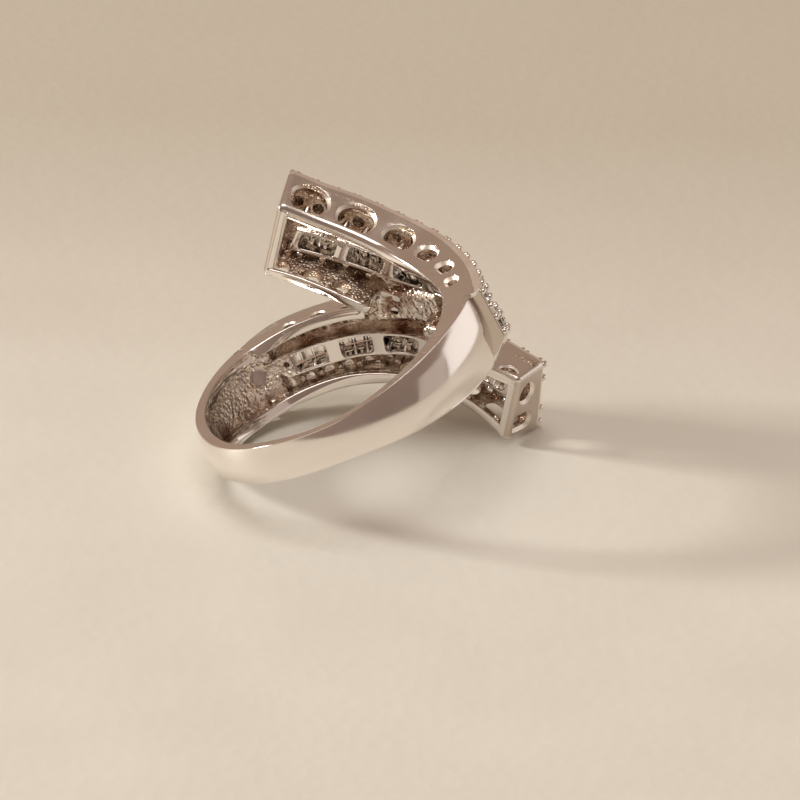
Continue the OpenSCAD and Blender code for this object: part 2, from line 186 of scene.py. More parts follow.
@dataclass
class ArmForm:
    """The form of the upper arm, and the frames that its plates are bent by."""

    rail_low: float = 0.36
    ruler_steps: int = 160
    reach: float = 0.05

    def __post_init__(self) -> None:
        """Measures the middle line of the top once."""
        t = np.linspace(0, ARM_END, self.ruler_steps + 1)
        line = self.beside(t, 0 * t, 1 + 0 * t)
        steps = np.linalg.norm(np.diff(line, axis=0), axis=1)
        self.ruler_t = t
        self.ruler_s = np.concatenate([[0], np.cumsum(steps)])
        self.length = float(self.ruler_s[-1])
        ahead, back = (self.beside(t + way * self.reach, 0 * t, 1 + 0 * t) for way in (1, -1))
        along = unit(ahead - back)
        across = unit(self.point(t, 1 + 0 * t, 1 + 0 * t) - self.point(t, 0 * t, 1 + 0 * t))
        self.slants = (along * across).sum(-1)

    def corners(self, t: np.ndarray) -> np.ndarray:
        """Returns the five corners of the cross-section at each t."""
        return around(smooth(ARM, t))

    def point(self, t: np.ndarray, w: np.ndarray, h: np.ndarray) -> np.ndarray:
        """Returns points at t along, w from the lower to the upper side, h outwards."""
        c = self.corners(t)
        return mix(mix(c[..., 1, :], c[..., 0, :], w), mix(c[..., 3, :], c[..., 2, :], w), h)

    def filled(self, t: np.ndarray, w: np.ndarray, h: np.ndarray) -> np.ndarray:
        """Finds points as point() does, but follows the corner in the lower side.

        Args:
            t: Places along the arm, in rows of ARM.
            w: Places across it, from 0 at the lower to 1 at the upper side.
            h: Heights, from 0 at the finger to 1 at the top.

        Returns:
            Points about the finger axis.
        """
        c = self.corners(t)
        low = np.linalg.norm(c[..., 4, :] - c[..., 1, :], axis=-1)
        high = np.linalg.norm(c[..., 3, :] - c[..., 4, :], axis=-1)
        share = low / (low + high)
        inner = mix(c[..., 1, :], c[..., 4, :], np.clip(h / share, None, 1))
        outer = mix(c[..., 4, :], c[..., 3, :], np.clip((h - share) / (1 - share), 0, None))
        lower = np.where((np.asarray(h) < share)[..., None], inner, outer)
        return mix(lower, mix(c[..., 0, :], c[..., 2, :], h), w)

    def width(self, t: np.ndarray, h: np.ndarray) -> np.ndarray:
        """Returns the width of the arm at t and h."""
        return np.linalg.norm(self.point(t, 1 + 0 * t, h) - self.point(t, 0 * t, h), axis=-1)

    def depth(self, t: np.ndarray) -> np.ndarray:
        """Returns the depth of the arm at t."""
        middle = 0.5 + 0 * t
        return np.linalg.norm(self.point(t, middle, 1 + 0 * t) - self.point(t, middle, 0 * t), axis=-1)

    def middle(self, t: np.ndarray, h: np.ndarray) -> np.ndarray:
        """Returns the place across the arm of its middle line."""
        line = np.interp(t, RAIL_LINE[:, 0], RAIL_LINE[:, 1])
        return 0.5 + (line - 0.5) * (1 - h) / (1 - self.rail_low)

    def beside(self, t: np.ndarray, offset: np.ndarray, h: np.ndarray) -> np.ndarray:
        """Returns points at an offset in millimetres from the middle line."""
        return self.point(t, self.middle(t, h) + offset / self.width(t, h), h)

    def place(self, s: np.ndarray) -> np.ndarray:
        """Returns the place t at a distance s along the middle line."""
        inside = np.interp(s, self.ruler_s, self.ruler_t)
        step = (self.ruler_s[-1] - self.ruler_s[-2]) / (self.ruler_t[-1] - self.ruler_t[-2])
        return inside + (np.minimum(s, 0) + np.maximum(s - self.length, 0)) / step

    def distance(self, t: np.ndarray) -> np.ndarray:
        """Returns the distance along the middle line at the place t."""
        return np.interp(t, self.ruler_t, self.ruler_s)

    def slant(self, t: np.ndarray) -> np.ndarray:
        """Returns how far the rows of the arm lean along it, per unit across it."""
        return np.interp(t, self.ruler_t, self.slants)

    def squared(self, s: np.ndarray, y: np.ndarray) -> np.ndarray:
        """Returns the place t of a point at distance s and offset y square to the line."""
        return self.place(s - y * self.slant(self.place(s)))

    def flat_place(self, t: float, y: float) -> tuple[float, float]:
        """Returns where a point at t and offset y lies on a flat plate."""
        s = float(self.distance(t))
        for _ in range(4):
            s = float(self.distance(t) + y * self.slant(self.place(s)))
        return s, y

    def frame_at(self, t: float, offset: float, h: float) -> tuple[np.ndarray, np.ndarray]:
        """Returns a point and the axes along, across and out of the arm there."""
        one = np.array
        ahead = self.beside(one(t + self.reach), one(offset), one(1.0))
        back = self.beside(one(t - self.reach), one(offset), one(1.0))
        along = unit(ahead - back)
        rise = self.point(one(t), one(1.0), one(1.0)) - self.point(one(t), one(0.0), one(1.0))
        out = unit(np.cross(along, rise))
        return self.beside(one(t), one(offset), one(h)), np.stack([along, np.cross(out, along), out], -1)


ARM_FORM = ArmForm()


@dataclass
class SidePath:
    """The outer side of half the ring, unrolled: from the back along the upper side,
    round the free end of the upper arm and along the lower side to the back."""

    corner: float = 0.42
    ruler_y: float = 1.0
    shank_points: int = 100
    side_points: int = 150
    end_points: int = 40
    corner_points: int = 9

    def __post_init__(self) -> None:
        """Lays out the inner, middle and outer edge and the inward direction."""
        form = ARM_FORM
        shank = np.linspace(0, SHANK_END, self.shank_points)
        end, half = np.array(ARM_END), np.array(0.5)
        step = 0.1
        ends = (form.point(end, np.array(w), half) - form.point(end - step, np.array(w), half)
                for w in (1.0, 0.0))
        reach = [self.corner * step / np.linalg.norm(stretch) for stretch in ends]
        part = self.corner / form.width(end, half)
        turn = np.radians(np.linspace(0, 90, self.corner_points))[1:-1]
        upper_t = np.linspace(0, ARM_END - reach[0], self.side_points)
        lower_t = np.linspace(ARM_END - reach[1], 0, self.side_points)
        end_w = np.linspace(1 - part, part, self.end_points)
        t = np.concatenate([
            upper_t, ARM_END - reach[0] * (1 - np.sin(turn)), ARM_END + 0 * end_w,
            ARM_END - reach[1] * (1 - np.cos(turn)), lower_t,
        ])
        w = np.concatenate([
            1 + 0 * upper_t, 1 - part * (1 - np.cos(turn)), end_w,
            part * (1 - np.sin(turn)), 0 * lower_t,
        ])
        kinked = np.concatenate([0 * upper_t, 0 * turn, 0 * end_w, np.sin(turn), 1 + 0 * lower_t])
        c = form.corners(t)
        low = np.linalg.norm(c[:, 4] - c[:, 1], axis=1)
        share = low / (low + np.linalg.norm(c[:, 3] - c[:, 4], axis=1))
        inner, outer = form.point(t, w, 0 * t), form.point(t, w, 1 + 0 * t)
        kink = form.point(t, w, share) + (c[:, 4] - form.point(t, 0 * t, share)) * kinked[:, None]
        rows = smooth(SHANK, shank)
        sides = []
        for z, r in ((1, 3), (2, 4)):
            rim = around(np.stack([rows[:, 0], BORE_R + 0 * shank, rows[:, z]], -1))
            edge = around(np.stack([rows[:, 0], rows[:, r], rows[:, z]], -1))
            sides.append((rim, (rim + edge) / 2, edge))
        up, down = sides
        self.inner = np.concatenate([up[0], inner, down[0][::-1]])
        self.kink = np.concatenate([up[1], kink, down[1][::-1]])
        self.outer = np.concatenate([up[2], outer, down[2][::-1]])
        self.low = np.linalg.norm(self.kink - self.inner, axis=1)
        self.high = np.linalg.norm(self.outer - self.kink, axis=1)
        line = self.inner + unit(self.outer - self.inner) * self.ruler_y
        self.x = np.concatenate([[0], np.cumsum(np.linalg.norm(np.diff(line, axis=0), axis=1))])
        n, m = len(shank), len(upper_t)
        parts = np.split(line, [n, len(line) - n])
        along = np.concatenate([np.gradient(part, axis=0) for part in parts])
        self.inward = unit(np.cross(along, self.outer - self.inner))
        first = n + m + len(turn)
        last = first + len(end_w) - 1
        below = last + 1 + len(turn)
        self.marks = {name: float(self.x[i]) for name, i in (
            ("upper_step", n), ("upper_end", n + m - 1), ("end_start", first), ("end_stop", last),
            ("lower_end", below), ("lower_step", below + m - 1), ("back", -1),
        )}
        self.upper_t, self.upper_x = upper_t, self.x[n:n + m]
        self.lower_t, self.lower_x = lower_t[::-1], self.x[below:below + m][::-1]
        self.end_w, self.end_x = end_w[::-1], self.x[first:last + 1][::-1]
        self.shank_angle, self.shank_x = rows[::-1, 0], self.x[:n][::-1]
        self.back_angle, self.back_x = rows[::-1, 0], self.x[-n:]

    def depth(self, x: np.ndarray) -> np.ndarray:
        """Returns the depth of the side at x."""
        return np.interp(x, self.x, self.low + self.high)

    def kink_line(self, x: np.ndarray) -> np.ndarray:
        """Returns the Y of the corner in the side at x."""
        return np.interp(x, self.x, self.low)

    def along(self, side: Side, t: float) -> float:
        """Returns x at the place t on one side of the arm."""
        if side is Side.UPPER:
            return float(np.interp(t, self.upper_t, self.upper_x))
        return float(np.interp(t, self.lower_t, self.lower_x))

    def bend(self, p: np.ndarray) -> np.ndarray:
        """Carries flat points onto the ring.

        Args:
            p: Points with X along the side, Y outwards and Z into the metal.

        Returns:
            Points about the finger axis.
        """
        def at(table: np.ndarray) -> np.ndarray:
            """Returns the rows of a table at the points' X."""
            return np.stack([np.interp(p[:, 0], self.x, table[:, k]) for k in range(3)], -1)

        inner, kink, outer = at(self.inner), at(self.kink), at(self.outer)
        low = np.linalg.norm(kink - inner, axis=1)
        high = np.linalg.norm(outer - kink, axis=1)
        below = mix(inner, kink, p[:, 1] / low)
        above = mix(kink, outer, (p[:, 1] - low) / high)
        on_side = np.where((p[:, 1] < low)[:, None], below, above)
        return on_side + unit(at(self.inward)) * p[:, 2:3]


def activate(obj: bpy.types.Object) -> None:
    """Selects one object alone and makes it active."""
    if bpy.context.object and bpy.context.object.mode != "OBJECT":
        bpy.ops.object.mode_set(mode="OBJECT")
    bpy.ops.object.select_all(action="DESELECT")
    obj.select_set(True)
    bpy.context.view_layer.objects.active = obj


@contextmanager
def editing(obj: bpy.types.Object) -> Iterator[None]:
    """Opens one object alone in edit mode, and closes it again."""
    activate(obj)
    bpy.ops.object.mode_set(mode="EDIT")
    yield
    bpy.ops.object.mode_set(mode="OBJECT")


class Part(Enum):
    """The parts of a mesh that can be picked in edit mode."""

    POINTS = "verts"
    EDGES = "edges"


def pick(obj: bpy.types.Object, part: Part, wanted: Callable[..., bool]) -> None:
    """Selects the wanted parts of a mesh that is open in edit mode, and nothing else.

    Args:
        obj: The mesh.
        part: Whether points or edges are picked.
        wanted: Tells whether one point or edge is selected.
    """
    bpy.ops.mesh.select_all(action="DESELECT")
    mesh = bmesh.from_edit_mesh(obj.data)
    for item in getattr(mesh, part.value):
        if wanted(item):
            item.select_set(True)
    bmesh.update_edit_mesh(obj.data)


def cut(at: Vector, normal: Vector, **clear: bool) -> None:
    """Cuts the whole mesh that is open in edit mode by a plane."""
    bpy.ops.mesh.select_all(action="SELECT")
    bpy.ops.mesh.bisect(plane_co=at, plane_no=normal, **clear)


def name_piece(obj: bpy.types.Object, name: str) -> bpy.types.Object:
    """Names an object and its mesh alike, and returns it."""
    obj.name = name
    obj.data.name = name
    return obj


def points_of(obj: bpy.types.Object) -> np.ndarray:
    """Returns the vertices of a mesh as an array."""
    co = np.empty(len(obj.data.vertices) * 3)
    obj.data.vertices.foreach_get("co", co)
    return co.reshape(-1, 3)


def move_points(obj: bpy.types.Object, bend: Bend) -> None:
    """Replaces the vertices of a mesh by what bend makes of them."""
    obj.data.vertices.foreach_set("co", bend(points_of(obj)).ravel())
    obj.data.update()


def cut_at(obj: bpy.types.Object, axis: int, places: Iterable[float]) -> None:
    """Cuts a flat mesh square to one axis at the given places.

    Args:
        obj: The mesh.
        axis: Axis that the cuts are square to.
        places: Where the cuts are.
    """
    normal = Vector((axis == 0, axis == 1, 0))
    with editing(obj):
        for place in places:
            cut(normal * place, normal)


def slice_up(obj: bpy.types.Object, axis: int, step: float) -> None:
    """Cuts a flat mesh into strips, so that it bends well along one axis.

    Args:
        obj: The mesh.
        axis: Axis that the cuts are square to.
        step: Distance between the cuts.
    """
    p = points_of(obj)[:, axis]
    count = max(1, round((p.max() - p.min()) / step))
    cut_at(obj, axis, [p.min() + (p.max() - p.min()) * (k + CUT_SHIFT) / count for k in range(1, count)])


def crease(obj: bpy.types.Object, line: Line) -> None:
    """Cuts a flat mesh along a line, so that it folds crisply there.

    Args:
        obj: The mesh.
        line: Gives the Y of the line at each X.
    """
    def shifted(way: int) -> Bend:
        """Returns the shift that carries the line onto Y = 0, or back."""
        return lambda p: p - way * np.column_stack([0 * p[:, 0], line(p[:, 0]), 0 * p[:, 0]])

    move_points(obj, shifted(1))
    cut_at(obj, 1, [0.0])
    move_points(obj, shifted(-1))


def tidy_mesh(obj: bpy.types.Object) -> None:
    """Merges doubled points, closes open ends and turns the faces outwards.

    Args:
        obj: The mesh.
    """
    with editing(obj):
        bpy.ops.mesh.select_mode(type="EDGE")
        bpy.ops.mesh.select_all(action="SELECT")
        bpy.ops.mesh.remove_doubles(threshold=NEAR)
        bpy.ops.mesh.dissolve_degenerate(threshold=NEAR)
        bpy.ops.mesh.select_non_manifold(extend=False, use_boundary=True, use_wire=False,
                                         use_multi_face=False, use_non_contiguous=False, use_verts=False)
        bpy.ops.mesh.fill_holes(sides=0)
        bpy.ops.mesh.select_all(action="SELECT")
        bpy.ops.mesh.normals_make_consistent(inside=False)


def bent(obj: bpy.types.Object, bend: Bend) -> bpy.types.Object:
    """Bends a flat mesh into place, tidies it and returns it."""
    move_points(obj, bend)
    tidy_mesh(obj)
    return obj


def flat_plate(name: str, outline: Outline, holes: Iterable[Outline], thickness: float,
               bevel: float, longest: float = 0.6, rounds: int = 2) -> bpy.types.Object:
    """Models a flat plate with rounded edges and holes.

    Args:
        name: Name of the piece.
        outline: Corners of the plate, in millimetres.
        holes: Outlines of the holes.
        thickness: Thickness of the plate. It lies evenly about Z = 0.
        bevel: Radius of the rounded edges.
        longest: Longest edge left in the mesh, so that it bends well.
        rounds: Steps in the rounded edges, or 0 for a straight bevel.

    Returns:
        The plate as a mesh object.
    """
    curve = bpy.data.curves.new(name, "CURVE")
    curve.dimensions = "2D"
    curve.fill_mode = "BOTH"
    for loop in (outline, *holes):
        spline = curve.splines.new("POLY")
        spline.points.add(len(loop) - 1)
        spline.points.foreach_set("co", [v for x, y in loop for v in (x, y, 0.0, 1.0)])
        spline.use_cyclic_u = True
    curve.extrude = thickness / 2 - bevel
    curve.bevel_depth = bevel
    curve.bevel_resolution = rounds
    curve.offset = -bevel
    obj = bpy.data.objects.new(name, curve)
    bpy.context.scene.collection.objects.link(obj)
    activate(obj)
    bpy.ops.object.convert(target="MESH")
    obj = bpy.context.object
    tidy_mesh(obj)
    slice_up(obj, 0, longest)
    slice_up(obj, 1, ACROSS_STEP)
    return name_piece(obj, name)


def paint(obj: bpy.types.Object, materials: Sequence[bpy.types.Material],
          choose: Callable[[np.ndarray, np.ndarray], np.ndarray]) -> None:
    """Gives the faces of a mesh their finishes.

    Args:
        obj: The mesh.
        materials: The finishes.
        choose: Takes the middles and normals of the faces, and returns the number of
            the finish for each face.
    """
    for material in materials:
        obj.data.materials.append(material)
    n = len(obj.data.polygons)
    middles, normals = np.empty(n * 3), np.empty(n * 3)
    obj.data.polygons.foreach_get("center", middles)
    obj.data.polygons.foreach_get("normal", normals)
    chosen = choose(middles.reshape(-1, 3), normals.reshape(-1, 3))
    obj.data.polygons.foreach_set("material_index", chosen.astype(np.int32))


def half_moon(width: float, height: float, at: tuple[float, float]) -> Outline:
    """Returns a window: flat towards the rim and round towards the stones.

    Args:
        width: Greatest width.
        height: Height from the sill to the top.
        at: Middle of the window.

    Returns:
        The corners of the outline.
    """
    steps, corner = 28, 0.3
    sill_out, sill_in, lift = 1.02, 0.88, 0.07
    r = width / 2
    rise = height - r
    below = min(max(rise, 0), r) if height <= width else 0.0
    start = -math.asin(below / r)
    arch = [
        (r * math.cos(a), rise + r * math.sin(a))
        for a in (start + i * (math.pi - 2 * start) / steps for i in range(steps + 1))
    ]
    if height > width:
        soft, near = corner * r, corner * corner * r
        arch += [(-r, soft), (-r + near, near), (-r + soft, 0), (r - soft, 0), (r - near, near), (r, soft)]
    elif below < r:
        sill = math.sqrt(r * r - below * below)
        wide, narrow = sill * sill_out, sill * sill_in
        arch[0], arch[-1] = (wide, rise - below + lift), (-wide, rise - below + lift)
        arch += [(-narrow, 0), (narrow, 0)]
    return [(at[0] + x, at[1] + y - height / 2) for x, y in arch]


def circle(d: float, at: tuple[float, float], steps: int = 24) -> Outline:
    """Returns a circle of the given diameter as an outline."""
    turn = 2 * math.pi / steps
    return [(at[0] + d / 2 * math.cos(i * turn), at[1] + d / 2 * math.sin(i * turn)) for i in range(steps)]


def slot_outline(length: float, width: float, at: tuple[float, float], soft: float) -> Outline:
    """Returns a rectangle with rounded corners, with points all along its sides.

    Args:
        length: Length along X.
        width: Width along Y.
        at: Middle of the rectangle.
        soft: Radius of its corners.

    Returns:
        The corners of the outline.
    """
    apart = 0.35
    out = []
    for cx, cy, start in ((1, 1, 0), (-1, 1, 90), (-1, -1, 180), (1, -1, 270)):
        for a in (0, 30, 60, 90):
            angle = math.radians(start + a)
            out.append((at[0] + cx * (length / 2 - soft) + soft * math.cos(angle),
                        at[1] + cy * (width / 2 - soft) + soft * math.sin(angle)))
    dense = []
    for (x0, y0), (x1, y1) in zip(out, out[1:] + out[:1]):
        n = max(1, int(math.hypot(x1 - x0, y1 - y0) / apart))
        dense += [(x0 + (x1 - x0) * k / n, y0 + (y1 - y0) * k / n) for k in range(n)]
    return dense


def rod(d: float, length: float, soft: float) -> bpy.types.Object:
    """Models a rod along Z with a rounded lower end at the origin.

    Args:
        d: Diameter.
        length: Length.
        soft: Radius of the rounded end, as a share of the diameter.

    Returns:
        The rod as a mesh object.
    """
    bpy.ops.object.select_all(action="DESELECT")
    bpy.ops.mesh.primitive_cylinder_add(vertices=20, radius=d / 2, depth=length, location=(0, 0, length / 2))
    obj = bpy.context.object
    bpy.ops.object.transform_apply(location=True)
    with editing(obj):
        bpy.ops.mesh.select_mode(type="EDGE")
        pick(obj, Part.EDGES, lambda edge: all(v.co.z < NEAR for v in edge.verts))
        bpy.ops.mesh.bevel(offset=d * soft, segments=4, profile=0.5)
    return obj


def scatter(name: str, template: bpy.types.Object, places: Iterable[Spot]) -> bpy.types.Object:
    """Copies a modelled piece to many places, as one mesh.

    Args:
        name: Name of the joined piece.
        template: The piece that is repeated. It is removed afterwards.
        places: Point and axes of each copy.

    Returns:
        The joined copies.
    """
    co = points_of(template)
    faces = [tuple(p.vertices) for p in template.data.polygons]
    verts, polys = [], []
    for point, axes in places:
        base = len(verts) * len(co)
        verts.append(co @ axes.T + point)
        polys += [tuple(base + v for v in f) for f in faces]
    mesh = bpy.data.meshes.new(name)
    mesh.from_pydata(np.concatenate(verts).tolist(), [], polys)
    mesh.update()
    obj = bpy.data.objects.new(name, mesh)
    bpy.context.scene.collection.objects.link(obj)
    bpy.data.objects.remove(template)
    return obj


@dataclass
class Lay:
    """How the ring lies: on a corner of the lower arm's free end and on the lower
    left edge of the shank, with its finger axis 28 degrees from upright."""

    up: np.ndarray = field(default_factory=lambda: np.array([0.447343, 0.146997, 0.882199]))
    middle: tuple[float, float, float] = (0.0, -2.02611, 6.2592)

    def __post_init__(self) -> None:
        """Works out the three axes of the laid ring."""
        head = np.array([0.0, 1.0, 0.0])
        ahead = unit(head - (head @ self.up) * self.up)
        self.axes = np.stack([np.cross(ahead, self.up), ahead, self.up])

    def place(self, p: np.ndarray) -> np.ndarray:
        """Carries points of the upright ring, in millimetres, to the laid ring in metres."""
        return (p @ self.axes.T + np.array(self.middle)) * MM


LAY = Lay()


class NodeTree:
    """A small helper that adds nodes and links to a node tree."""

    def __init__(self, tree: bpy.types.NodeTree) -> None:
        """Keeps the tree."""
        self.tree = tree

    def add(self, kind: str, inputs: dict | None = None, **settings: object) -> bpy.types.Node:
        """Adds a node.

        Args:
            kind: Type of the node.
            inputs: Values or output sockets by input name or number.
            settings: Attributes of the node.

        Returns:
            The new node.
        """
        node = self.tree.nodes.new(kind)
        for key, value in settings.items():
            setattr(node, key, value)
        for key, value in (inputs or {}).items():
            if isinstance(value, bpy.types.NodeSocket):
                self.tree.links.new(value, node.inputs[key])
            else:
                node.inputs[key].default_value = value
        return node

    def ramp(self, factor: bpy.types.NodeSocket, low: float, high: float,
             to_low: float = 0.0, to_high: float = 1.0) -> bpy.types.NodeSocket:
        """Maps a factor between two limits to two values and returns the output."""
        node = self.add("ShaderNodeMapRange", {"Value": factor, "From Min": low, "From Max": high,
                                               "To Min": to_low, "To Max": to_high})
        return node.outputs["Result"]

    def blend(self, factor: bpy.types.NodeSocket, a: Colour | bpy.types.NodeSocket,
              b: Colour | bpy.types.NodeSocket) -> bpy.types.NodeSocket:
        """Blends two colours by a factor and returns the output."""
        first, second = (v if isinstance(v, bpy.types.NodeSocket) else (*v, 1) for v in (a, b))
        return self.add("ShaderNodeMix", {0: factor, 6: first, 7: second}, data_type="RGBA").outputs[2]

    def noise(self, where: bpy.types.NodeSocket, scale: float | bpy.types.NodeSocket,
              detail: float) -> bpy.types.NodeSocket:
        """Adds a noise pattern and returns its strength."""
        node = self.add("ShaderNodeTexNoise", {"Vector": where, "Scale": scale, "Detail": detail})
        return node.outputs["Fac"]

    def maths(self, operation: str, a: bpy.types.NodeSocket, b: bpy.types.NodeSocket) -> bpy.types.NodeSocket:
        """Works out one value from two and returns the output."""
        return self.add("ShaderNodeMath", {0: a, 1: b}, operation=operation).outputs[0]


class SharedEffect(NodeTree):
    """A node group for an effect that several materials share."""

    def __init__(self, name: str, inputs: Sequence[str], outputs: Sequence[str]) -> None:
        """Makes the group, its sockets and its Object coordinates.

        Args:
            name: Name of the group.
            inputs: Names of its inputs.
            outputs: Names of its outputs.
        """
        super().__init__(bpy.data.node_groups.new(name, "ShaderNodeTree"))
        for way, names in (("INPUT", inputs), ("OUTPUT", outputs)):
            for socket in names:
                self.tree.interface.new_socket(socket, in_out=way, socket_type="NodeSocketFloat")
        self.given = self.add("NodeGroupInput").outputs
        self.out = self.add("NodeGroupOutput").inputs
        self.where = self.add("ShaderNodeTexCoord").outputs["Object"]

    def give(self, **sockets: bpy.types.NodeSocket) -> bpy.types.ShaderNodeTree:
        """Links the named outputs and returns the finished group."""
        for name, socket in sockets.items():
            self.tree.links.new(socket, self.out[name])
        return self.tree


class Coat(NodeTree):
    """A new material, with its shader and its Object coordinates."""

    def __init__(self, name: str) -> None:
        """Makes the material."""
        self.material = bpy.data.materials.new(name)
        self.material.use_nodes = True
        super().__init__(self.material.node_tree)
        self.shader = self.tree.nodes["Principled BSDF"]
        self.where = self.add("ShaderNodeTexCoord").outputs["Object"]

    def effect(self, group: bpy.types.ShaderNodeTree, inputs: dict[str, float]) -> bpy.types.NodeOutputs:
        """Places a shared effect with its own values and returns its outputs."""
        return self.add("ShaderNodeGroup", inputs, node_tree=group).outputs

    def done(self, colour: bpy.types.NodeSocket, rough: bpy.types.NodeSocket,
             bump: bpy.types.Node | None = None, **plain: float) -> bpy.types.Material:
        """Feeds the shader.

        Args:
            colour: Output for the base colour.
            rough: Output for the roughness.
            bump: The bump node, where there is one.
            plain: Values of other sockets, by name with underscores.

        Returns:
            The finished material.
        """
        links = self.tree.links
        links.new(colour, self.shader.inputs["Base Color"])
        links.new(rough, self.shader.inputs["Roughness"])
        if bump:
            links.new(bump.outputs[0], self.shader.inputs["Normal"])
        for name, value in plain.items():
            self.shader.inputs[name.replace("_", " ")].default_value = value
        return self.material


def handling_effect() -> bpy.types.ShaderNodeTree:
    """Builds the shared wear of polished metal: fine rubs, hairlines and a soft ripple."""
    tree = SharedEffect("metal_handling", ("Rub Size", "Hairline Size", "Ripple Size"),
                        ("Dullness", "Ripple"))
    rubs = tree.noise(tree.where, tree.given["Rub Size"], 5.0)
    stretch = tree.add("ShaderNodeMapping",
                       {"Vector": tree.where, "Rotation": (0.4, 0.9, 0.3), "Scale": (1, 12, 3)}).outputs[0]
    hairs = tree.noise(stretch, tree.given["Hairline Size"], 3.0)
    dull = tree.maths("MAXIMUM", tree.ramp(rubs, 0.4, 0.75), tree.ramp(hairs, 0.62, 0.72))
    return tree.give(Dullness=dull, Ripple=tree.noise(tree.where, tree.given["Ripple Size"], 2.0))


def casting_effect() -> bpy.types.ShaderNodeTree:
    """Builds the shared skin of cast metal: grain with pits, light stains and brown patches."""
    tree = SharedEffect("cast_grain", ("Grain Size", "Lump Size", "Patch Size"),
                        ("Pits", "Relief", "Stain", "Browning"))
    lumps = tree.noise(tree.where, tree.given["Lump Size"], 4.0)
    grains = tree.add("ShaderNodeTexVoronoi", {"Vector": tree.where, "Scale": tree.given["Grain Size"]})
    pits = tree.ramp(grains.outputs["Distance"], 0.0, 0.6)
    patches = tree.noise(tree.where, tree.given["Patch Size"], 5.0)
    return tree.give(Pits=pits, Relief=tree.maths("MULTIPLY", lumps, pits),
                     Stain=tree.ramp(lumps, 0.35, 0.65), Browning=tree.ramp(patches, 0.50, 0.64, 0.0, 0.9))


def cloud_effect() -> bpy.types.ShaderNodeTree:
    """Builds the shared faint clouds inside the stones."""
    tree = SharedEffect("stone_clouds", ("Cloud Size",), ("Clouds",))
    return tree.give(Clouds=tree.noise(tree.where, tree.given["Cloud Size"], 3.0))


@dataclass(frozen=True)
class Metal:
    """Polished white metal, with the rubs of handling."""

    name: str
    light: Colour
    dark: Colour
    roughness: tuple[float, float]
    ripple: float
    ripple_depth: float
    rubs: float = 420.0
    hairlines: float = 900.0

    def material(self, handling: bpy.types.ShaderNodeTree) -> bpy.types.Material:
        """Builds the material round the shared wear group and returns it."""
        coat = Coat(self.name)
        wear = coat.effect(handling, {"Rub Size": self.rubs, "Hairline Size": self.hairlines,
                                      "Ripple Size": self.ripple})
        bump = coat.add("ShaderNodeBump", {"Height": wear["Ripple"], "Distance": self.ripple_depth * MM})
        return coat.done(coat.blend(wear["Ripple"], self.dark, self.light),
                         coat.ramp(wear["Dullness"], 0, 1, *self.roughness), bump, Metallic=1.0)


@dataclass(frozen=True)
class CastMetal:
    """Metal as it came from the casting mould: pitted, grainy, darker in its pits and
    browned in patches. The inner metal's dark brown colours are partly painted shade,
    and the shoulder metal's near-white colours are partly painted light."""

    name: str
    light: Colour
    dark: Colour
    brown: Colour
    roughness: tuple[float, float]
    grain: float
    depth: float
    spots: tuple[tuple[float, float, float], ...] = ()
    spot_r: float = 0.62
    spot_colour: Colour = (0.50, 0.41, 0.38)
    lump_share: float = 0.35
    patch: float = 520.0

    def coarse(self, coat: Coat) -> bpy.types.NodeSocket:
        """Masks the smooth spots, where a casting channel was cut off.

        Args:
            coat: The material.

        Returns:
            Output that is 0 on the smooth spots and 1 elsewhere.
        """
        mask = coat.add("ShaderNodeValue").outputs[0]
        mask.default_value = 1.0
        for spot in self.spots:
            apart = coat.add("ShaderNodeVectorMath", {0: coat.where, 1: tuple(LAY.place(np.array(spot)))},
                             operation="DISTANCE").outputs["Value"]
            away = coat.ramp(apart, self.spot_r * 0.8 * MM, self.spot_r * 1.2 * MM)
            mask = coat.maths("MULTIPLY", away, mask)
        return mask

    def material(self, casting: bpy.types.ShaderNodeTree) -> bpy.types.Material:
        """Builds the material.

        Args:
            casting: The shared grain group.

        Returns:
            The material.
        """
        coat = Coat(self.name)
        skin = coat.effect(casting, {"Grain Size": self.grain, "Lump Size": self.grain * self.lump_share,
                                     "Patch Size": self.patch})
        coarse = self.coarse(coat)
        bump = coat.add("ShaderNodeBump", {"Height": coat.maths("MULTIPLY", skin["Relief"], coarse),
                                           "Distance": self.depth * MM})
        grained = coat.blend(skin["Stain"], self.dark, self.light)
        patched = coat.blend(skin["Browning"], grained, self.brown)
        return coat.done(coat.blend(coarse, self.spot_colour, patched),
                         coat.ramp(skin["Pits"], 0, 1, *self.roughness), bump, Metallic=1.0)


@dataclass(frozen=True)
class Stone:
    """A clear cut stone with faint clouds inside."""

    name: str
    clear: Colour
    cloud: Colour
    ior: float
    cloud_size: float = 900.0

    def material(self, clouding: bpy.types.ShaderNodeTree) -> bpy.types.Material:
        """Builds the material round the shared group of clouds and returns it."""
        coat = Coat(self.name)
        clouds = coat.effect(clouding, {"Cloud Size": self.cloud_size})["Clouds"]
        return coat.done(coat.blend(coat.ramp(clouds, 0.4, 0.7), self.clear, self.cloud),
                         coat.ramp(clouds, 0.3, 0.8, 0.0, 0.03), Transmission_Weight=1.0, IOR=self.ior)


